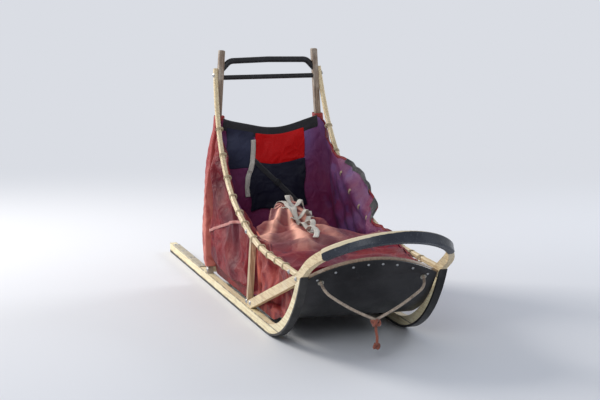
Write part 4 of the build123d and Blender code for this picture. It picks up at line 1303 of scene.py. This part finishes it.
def fit_bolts():
    """Bolts of the joints, rivets of the bed panel and screws of the foot pads, as a few pieces."""
    for name, side in SIDES.items():
        woods = surface_of(*[stem + name for stem in ("rail_", "bow_leg_", "post_", "stanchion_", "runner_")])
        shapes = [bolt(woods, (at(t), side * 0.6, z), (0, -side, 0)) for t, z in JOINT_BOLTS]
        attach(gathered("joint_bolts_" + name, shapes, STEEL), "sled")
        pad = surface_of("tread_" + name)
        shapes = [bolt(pad, (at(t), side * y, 0.3), (0, 0, -1), SMALL_HEAD) for t, y in PAD_SCREWS]
        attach(gathered("pad_screws_" + name, shapes, STEEL), "sled")
    panel = surface_of("bed")
    radius = (PANEL_HALF ** 2 + PANEL_RISE ** 2) / (2 * PANEL_RISE)
    shapes = []
    for y in PANEL_RIVETS:
        top = PANEL_CROWN - radius + math.sqrt(radius ** 2 - y * y)
        shapes.append(bolt(panel, (at(1.3), y, top - 0.016), (-1, 0, 0), SMALL_HEAD))
    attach(gathered("panel_rivets", shapes, STEEL), "sled")
    shapes = [bolt(panel, (at(t), y, 0.4), (0, 0, -1), SMALL_HEAD) for t, y in BED_SCREWS]
    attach(gathered("bed_screws", shapes, STEEL), "sled")


def rail_ties():
    """Cord loops that hold the bag's rims to the rails, three turns each."""
    for name, side in SIDES.items():
        shapes = []
        for station in TIE_STATIONS:
            height = rail_height(station)
            slope = rail_slope(station)
            ahead = np.array((1.0, 0.0, -slope)) / math.hypot(1, slope)
            upward = np.array((-ahead[2], 0.0, ahead[0]))
            centre = np.array((at(station), side * (lean_offset(height) + 0.021), height))
            outward, rise = rounded_loop((-0.0185, -0.0125), (0.0115, 0.0125))
            for turn in range(3):
                middle = centre + ahead * (turn - 1) * TIE_PITCH
                wobble = 0.0006 * math.sin(station * 90 + turn * 2)
                line = [middle + np.array((0, side * (out + wobble), 0)) + upward * up
                        for out, up in zip(outward, rise)]
                shapes.append(tube(line, TIE_RADIUS, closed=True))
        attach(gathered("rail_ties_" + name, shapes, TWINE), "sled")


def eased(values, width):
    """A run of values smoothed along its length, its ends kept."""
    padded = np.r_[[values[0]] * width, values, [values[-1]] * width]
    kernel = np.hanning(2 * width + 1)
    return np.convolve(padded, kernel / kernel.sum(), mode="valid")


def strap_on(name, surface, points, direction, width, material, lift=STRAP_LIFT, humps=(), ease=4):
    """A flat strap laid on a surface: its points are cast onto it along a direction, over small hollows.

    A hump is (where along the strap, from 0 to 1, how far it stands off, how long it is)."""
    line = spread(smooth_route(points), 0.005)
    toward = Vector(direction).normalized()
    depths, spots = [], []
    for point in line:
        origin = Vector(point) - toward * STRAP_CAST
        place, *_ = surface.ray_cast(origin, toward)
        spots.append(origin)
        depths.append((place - origin).length if place else (depths[-1] if depths else STRAP_CAST))
    depths = np.minimum(eased(np.array(depths), ease), np.array(depths)) - lift
    shares = np.linspace(0, 1, len(depths))
    twist = np.zeros(len(depths))
    for where, off, long in humps:
        bell = np.exp(-((shares - where) / long) ** 2)
        depths = depths - off * bell
        twist += off * 9 * np.sin((shares - where) / long * 2.2) * bell
    laid = np.array([spot + toward * float(depth) for spot, depth in zip(spots, depths)])
    facing = np.tile(np.array(-toward), (len(laid), 1))
    sideways = unit(np.cross(facing, np.gradient(laid, axis=0)))
    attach(ribbon(name, laid, width, material, facing + sideways * twist[:, None]), "sled")
    return laid


def buckle(laid, middle, facing, width):
    """A ladder buckle at one point of a laid strap: a rounded frame with a bar across it."""
    centre = Vector(laid[middle])
    ahead = Vector(laid[middle + 1] - laid[middle - 1]).normalized()
    across = ahead.cross(Vector(facing)).normalized()
    outward = across.cross(ahead)
    half = width / 2
    over, along = rounded_loop((-half - 0.003, -0.012), (half + 0.003, 0.012), 3.4, 28)
    ring = [centre + across * o + ahead * a + outward * 0.0030 for o, a in zip(over, along)]
    bar = [centre + across * o + outward * 0.0042 for o in np.linspace(-half - 0.002, half + 0.002, 5)]
    return [tube([tuple(p) for p in ring], 0.0022, closed=True), tube([tuple(p) for p in bar], 0.0020)]


def fit_straps(walls, soft):
    """Straps of the bag: the seam tape outside, the compression straps and the loose webbing on the cover."""
    buckles = []
    for name, side in SIDES.items():
        points = [(at(t), side * 0.3, z) for t, z in SEAM_LINE]
        strap_on(name + "_seam_tape", walls, points, (0, -side, 0), SEAM_TAPE_WIDTH, FADED_TAPE)
    points = [(at(-0.6), y, z) for y, z in HANGING_LINE]
    strap_on("hanging_strap", walls, points, (-1, 0, 0), STRAP_WIDTH, PALE_STRAP, 0.004,
             [(0.7, 0.012, 0.16)], 8)
    points = [(at(-0.6), y, z) for y, z in POCKET_LINE]
    laid = strap_on("pocket_strap", walls, points, (-1, 0, 0), STRAP_WIDTH, HEM, ease=6)
    buckles += buckle(laid, len(laid) // 2, (1, 0, 0), STRAP_WIDTH)
    for number, (station, high, low) in enumerate(SIDE_STRAPS):
        points = [(at(station), 0.3, high), (at(station + 0.006), 0.3, (high + low) / 2),
                  (at(station - 0.004), 0.3, low)]
        laid = strap_on(f"left_side_strap_{number + 1}", walls, points, (0, -1, 0), SIDE_STRAP_WIDTH, HEM,
                        ease=8)
        buckles += buckle(laid, len(laid) // 3, (0, 1, 0), SIDE_STRAP_WIDTH)
    for number, (route, humps) in enumerate(LOOSE_STRAPS):
        points = [(at(t), y, 0.45) for t, y in route]
        strap_on(f"loose_strap_{number + 1}", soft, points, (0, 0, -1), STRAP_WIDTH, PALE_STRAP,
                 STRAP_LIFT + STRAP_LIFT * number, humps, 5)
    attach(gathered("strap_buckles", buckles, BUCKLE), "sled")


def dress(material, *names):
    """Gives CAD nodes, by name or by their pair's stem, a finish."""
    for name in names:
        for node in ([name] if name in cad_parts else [name + "_right", name + "_left"]):
            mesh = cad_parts[node].data
            mesh.materials.clear()
            mesh.materials.append(material)


def make_stage():
    """A pale floor that fades into the background, and the light of an open sky."""
    corners = [(-60, -60, 0), (60, -60, 0), (60, 60, 0), (-60, 60, 0)]
    floor = mesh_object("floor", corners, [(0, 1, 2, 3)], smooth=False)
    (material, shader), tree, vector = new_material("floor", roughness=0.9, base_color=srgb(222, 224, 229))
    glow = shade(tree, "ShaderNodeEmission", {"Color": srgb(218, 221, 228), "Strength": 1.0})
    away = shade(tree, "ShaderNodeVectorMath", {0: vector}, "Value", operation="LENGTH")
    lit = Level(tree, shader.outputs[0])
    blend = shade(tree, "ShaderNodeMixShader", {0: away.step(1.3, 4.5), 1: lit, 2: glow})
    connect(tree.nodes["Material Output"].inputs, Surface=blend)
    floor.data.materials.append(material)
    world = bpy.data.worlds.new("studio")
    world.use_nodes = True
    tree = world.node_tree
    rays = add(tree, "ShaderNodeLightPath").outputs
    camera, glossy, through = [Level(tree, rays[name])
                               for name in ("Is Camera Ray", "Is Glossy Ray", "Is Transmission Ray")]
    sky = tree.nodes["Background"].inputs
    connect(sky, Color=(camera | glossy | through).between((0.62, 0.66, 0.74, 1.0), (0.80, 0.82, 0.86, 1.0)))
    sky["Strength"].default_value = 0.62
    bpy.context.scene.world = world


def make_lamp(name, place, aim, size, watts, color):
    data = bpy.data.lights.new(name, "AREA")
    data.shape = "RECTANGLE"
    data.size, data.size_y = size
    data.energy = watts
    data.color = color
    lamp = link(bpy.data.objects.new(name, data))
    lamp.location = place
    lamp.rotation_euler = (Vector(aim) - Vector(place)).to_track_quat("-Z", "Y").to_euler()


def middle_of(node):
    """The middle of a CAD node's box."""
    low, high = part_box(node)
    return (Vector(low) + Vector(high)) / 2


def make_bridle():
    """The two bridle legs, their knot and the short tail, with a knot on the end of each."""
    ropes = {}
    for name, side in SIDES.items():
        points = [(at(t), side * y, z) for t, y, z in BRIDLE_LEG]
        line = smooth_route(points)
        leg = laid_rope("rope_leg_" + name, spread(line, ROPE_STEP), ROPE_DIAMETER, ROPE_GREY)
        stopper_line = knot_line(middle_of("rope_stopper_" + name), 0.0125, 0.0085, 0.4 * side)
        stopper = laid_rope("stopper_knot_" + name, stopper_line, ROPE_DIAMETER * 0.95, ROPE_GREY,
                            closed=True)
        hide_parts("bridle_leg_" + name)
        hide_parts("rope_stopper_" + name)
        ropes[name] = (leg, stopper, line, points[0])
    tail_line = smooth_route([(at(t), y, z) for t, y, z in BRIDLE_TAIL])
    tail = laid_rope("rope_tail", spread(tail_line, ROPE_STEP), ROPE_DIAMETER, ROPE_RED)
    tow_line = knot_line(middle_of("bridle_knot"), 0.0165, 0.0105, 1.2)
    knot = laid_rope("tow_knot", tow_line, ROPE_DIAMETER, ROPE_RED, closed=True)
    end_line = knot_line(tail_line[-1], 0.0105, 0.0070, 0.3)
    end_knot = laid_rope("tail_end_knot", end_line, ROPE_DIAMETER * 0.92, ROPE_RED, closed=True)
    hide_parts("bridle_tail")
    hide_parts("bridle_knot")
    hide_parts("tail_knot")
    for piece in (tail, knot, end_knot):
        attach(piece, "sled")
    for name, (leg, stopper, line, start) in ropes.items():
        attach(leg, "sled")
        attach(stopper, "sled")
        with_pieces = [stopper, knot] if name == "right" else [stopper]


def left_column(station):
    """Where in the cloth grid a station of the left rim is."""
    return LEFT_FIRST + (station - BAG_REAR) / (STATIONS[1] - STATIONS[0])


bpy.context.scene.view_settings.view_transform = "Standard"
make_camera()
make_bridle()

bag, grid, held = build_bag()
let_settle(bag, held, 0.05, 24)
bag_places = read_places(bag.data)
shell = hang_rear(draw_folds(bag_places[:grid[0] * grid[1]].reshape(*grid, 3)))
bag_places = keep_inside_frame(bag_places)
write_places(bag.data, bag_places)
thicken(bag, CLOTH_THICKNESS, lining=1)
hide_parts("bag_side_right", "bag_side_left", "bag_rear", "bag_floor")
soft_pieces = [bag]

# Bindings: first and last column, width, lift and finish
for name, *rest in (
        ("rear_hem", REAR_FIRST + 0.2, LEFT_FIRST - 0.2, 0.050, 0.0030, HEM),
        ("right_rim_tape", 1, REAR_FIRST - 0.5, 0.010, 0.0024, NYLON),
        ("left_rim_tape", LEFT_FIRST + 0.5, LEFT_FIRST + SIDE_COLUMNS - 2, 0.010, 0.0024, NYLON),
        ("left_rim_strap_rear", left_column(-0.40), left_column(-0.14), 0.024, 0.0040, HEM),
        ("left_rim_strap_front", left_column(-0.10), left_column(0.0), 0.024, 0.0040, HEM)):
    soft_pieces.append(rim_binding(name, shell, *rest))

# Panels of the rear wall: first and last column, shares of the wall's height, lift, finish and edge's waver
for name, *rest in (
        # The bright red panel is painted light where sun shines through the rear wall
        ("rear_red_panel", REAR_FIRST + 11, LEFT_FIRST - 5, 0.745, 0.955, 0.0035, SUNLIT_RED, 0.008),
        ("rear_dark_panel", REAR_FIRST + 1.5, REAR_FIRST + 10.5, 0.70, 0.955, 0.0035, BLUE, 0.01),
        ("rear_dark_pocket", REAR_FIRST + 9.5, LEFT_FIRST - 5, 0.42, 0.755, 0.013, NAVY, 0.02)):
    soft_pieces.append(cloth_patch(name, shell, *rest))
for name, side in SIDES.items():
    sleeve = post_sleeve("post_sleeve_" + name, side)
    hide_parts("post_wrap_" + name)
    soft_pieces.append(sleeve)

cover, cover_held = build_front_cover(shell)
let_settle(cover, cover_held, 0.10, 20, gravity=0.12, bending=1.2)
write_places(cover.data, pleated(read_places(cover.data)))
thicken(cover, CLOTH_THICKNESS, lining=1)
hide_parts("bag_hood")
soft_pieces.append(cover)
for piece in soft_pieces:
    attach(piece, "sled")
fit_straps(surface_of_pieces(*soft_pieces[:-1]), surface_of_pieces(*soft_pieces))
fit_bolts()
rail_ties()

for material, *names in (
        (ASH_RUNNER, "runner"), (ASH, "rail", "bow_leg"), (ASH_ACROSS, "crosspiece_rear", "crosspiece_front"),
        (POST_WOOD, "post"), (STANCHION_WOOD, "stanchion"), (ASH_BROWN, "front_crossbar"), (SOLE, "sole"),
        (TREAD, "tread"), (COVER, "bow_cover"), (BED, "bed"), (GROMMET, "grommet"),
        (STEEL, "hinge_lugs", "hinge_pin", "brake_claws"), (DARK_STEEL, "brake_arms"),
        (GRIP, "brake_pedal", "driving_bow", "lower_bar")):
    dress(material, *names)

make_stage()
make_lamp("key", (-3.6, -3.4, 3.0), (0, 0, 0.3), (2.2, 1.8), 270, (1.0, 0.95, 0.88))
make_lamp("fill", (5.2, -3.0, 3.4), (0, 0, 0.3), (3.2, 2.4), 105, (0.94, 0.97, 1.0))
make_lamp("rim", (-2.0, 4.2, 2.6), (0, 0, 0.4), (2.4, 1.8), 70, (0.96, 0.98, 1.0))
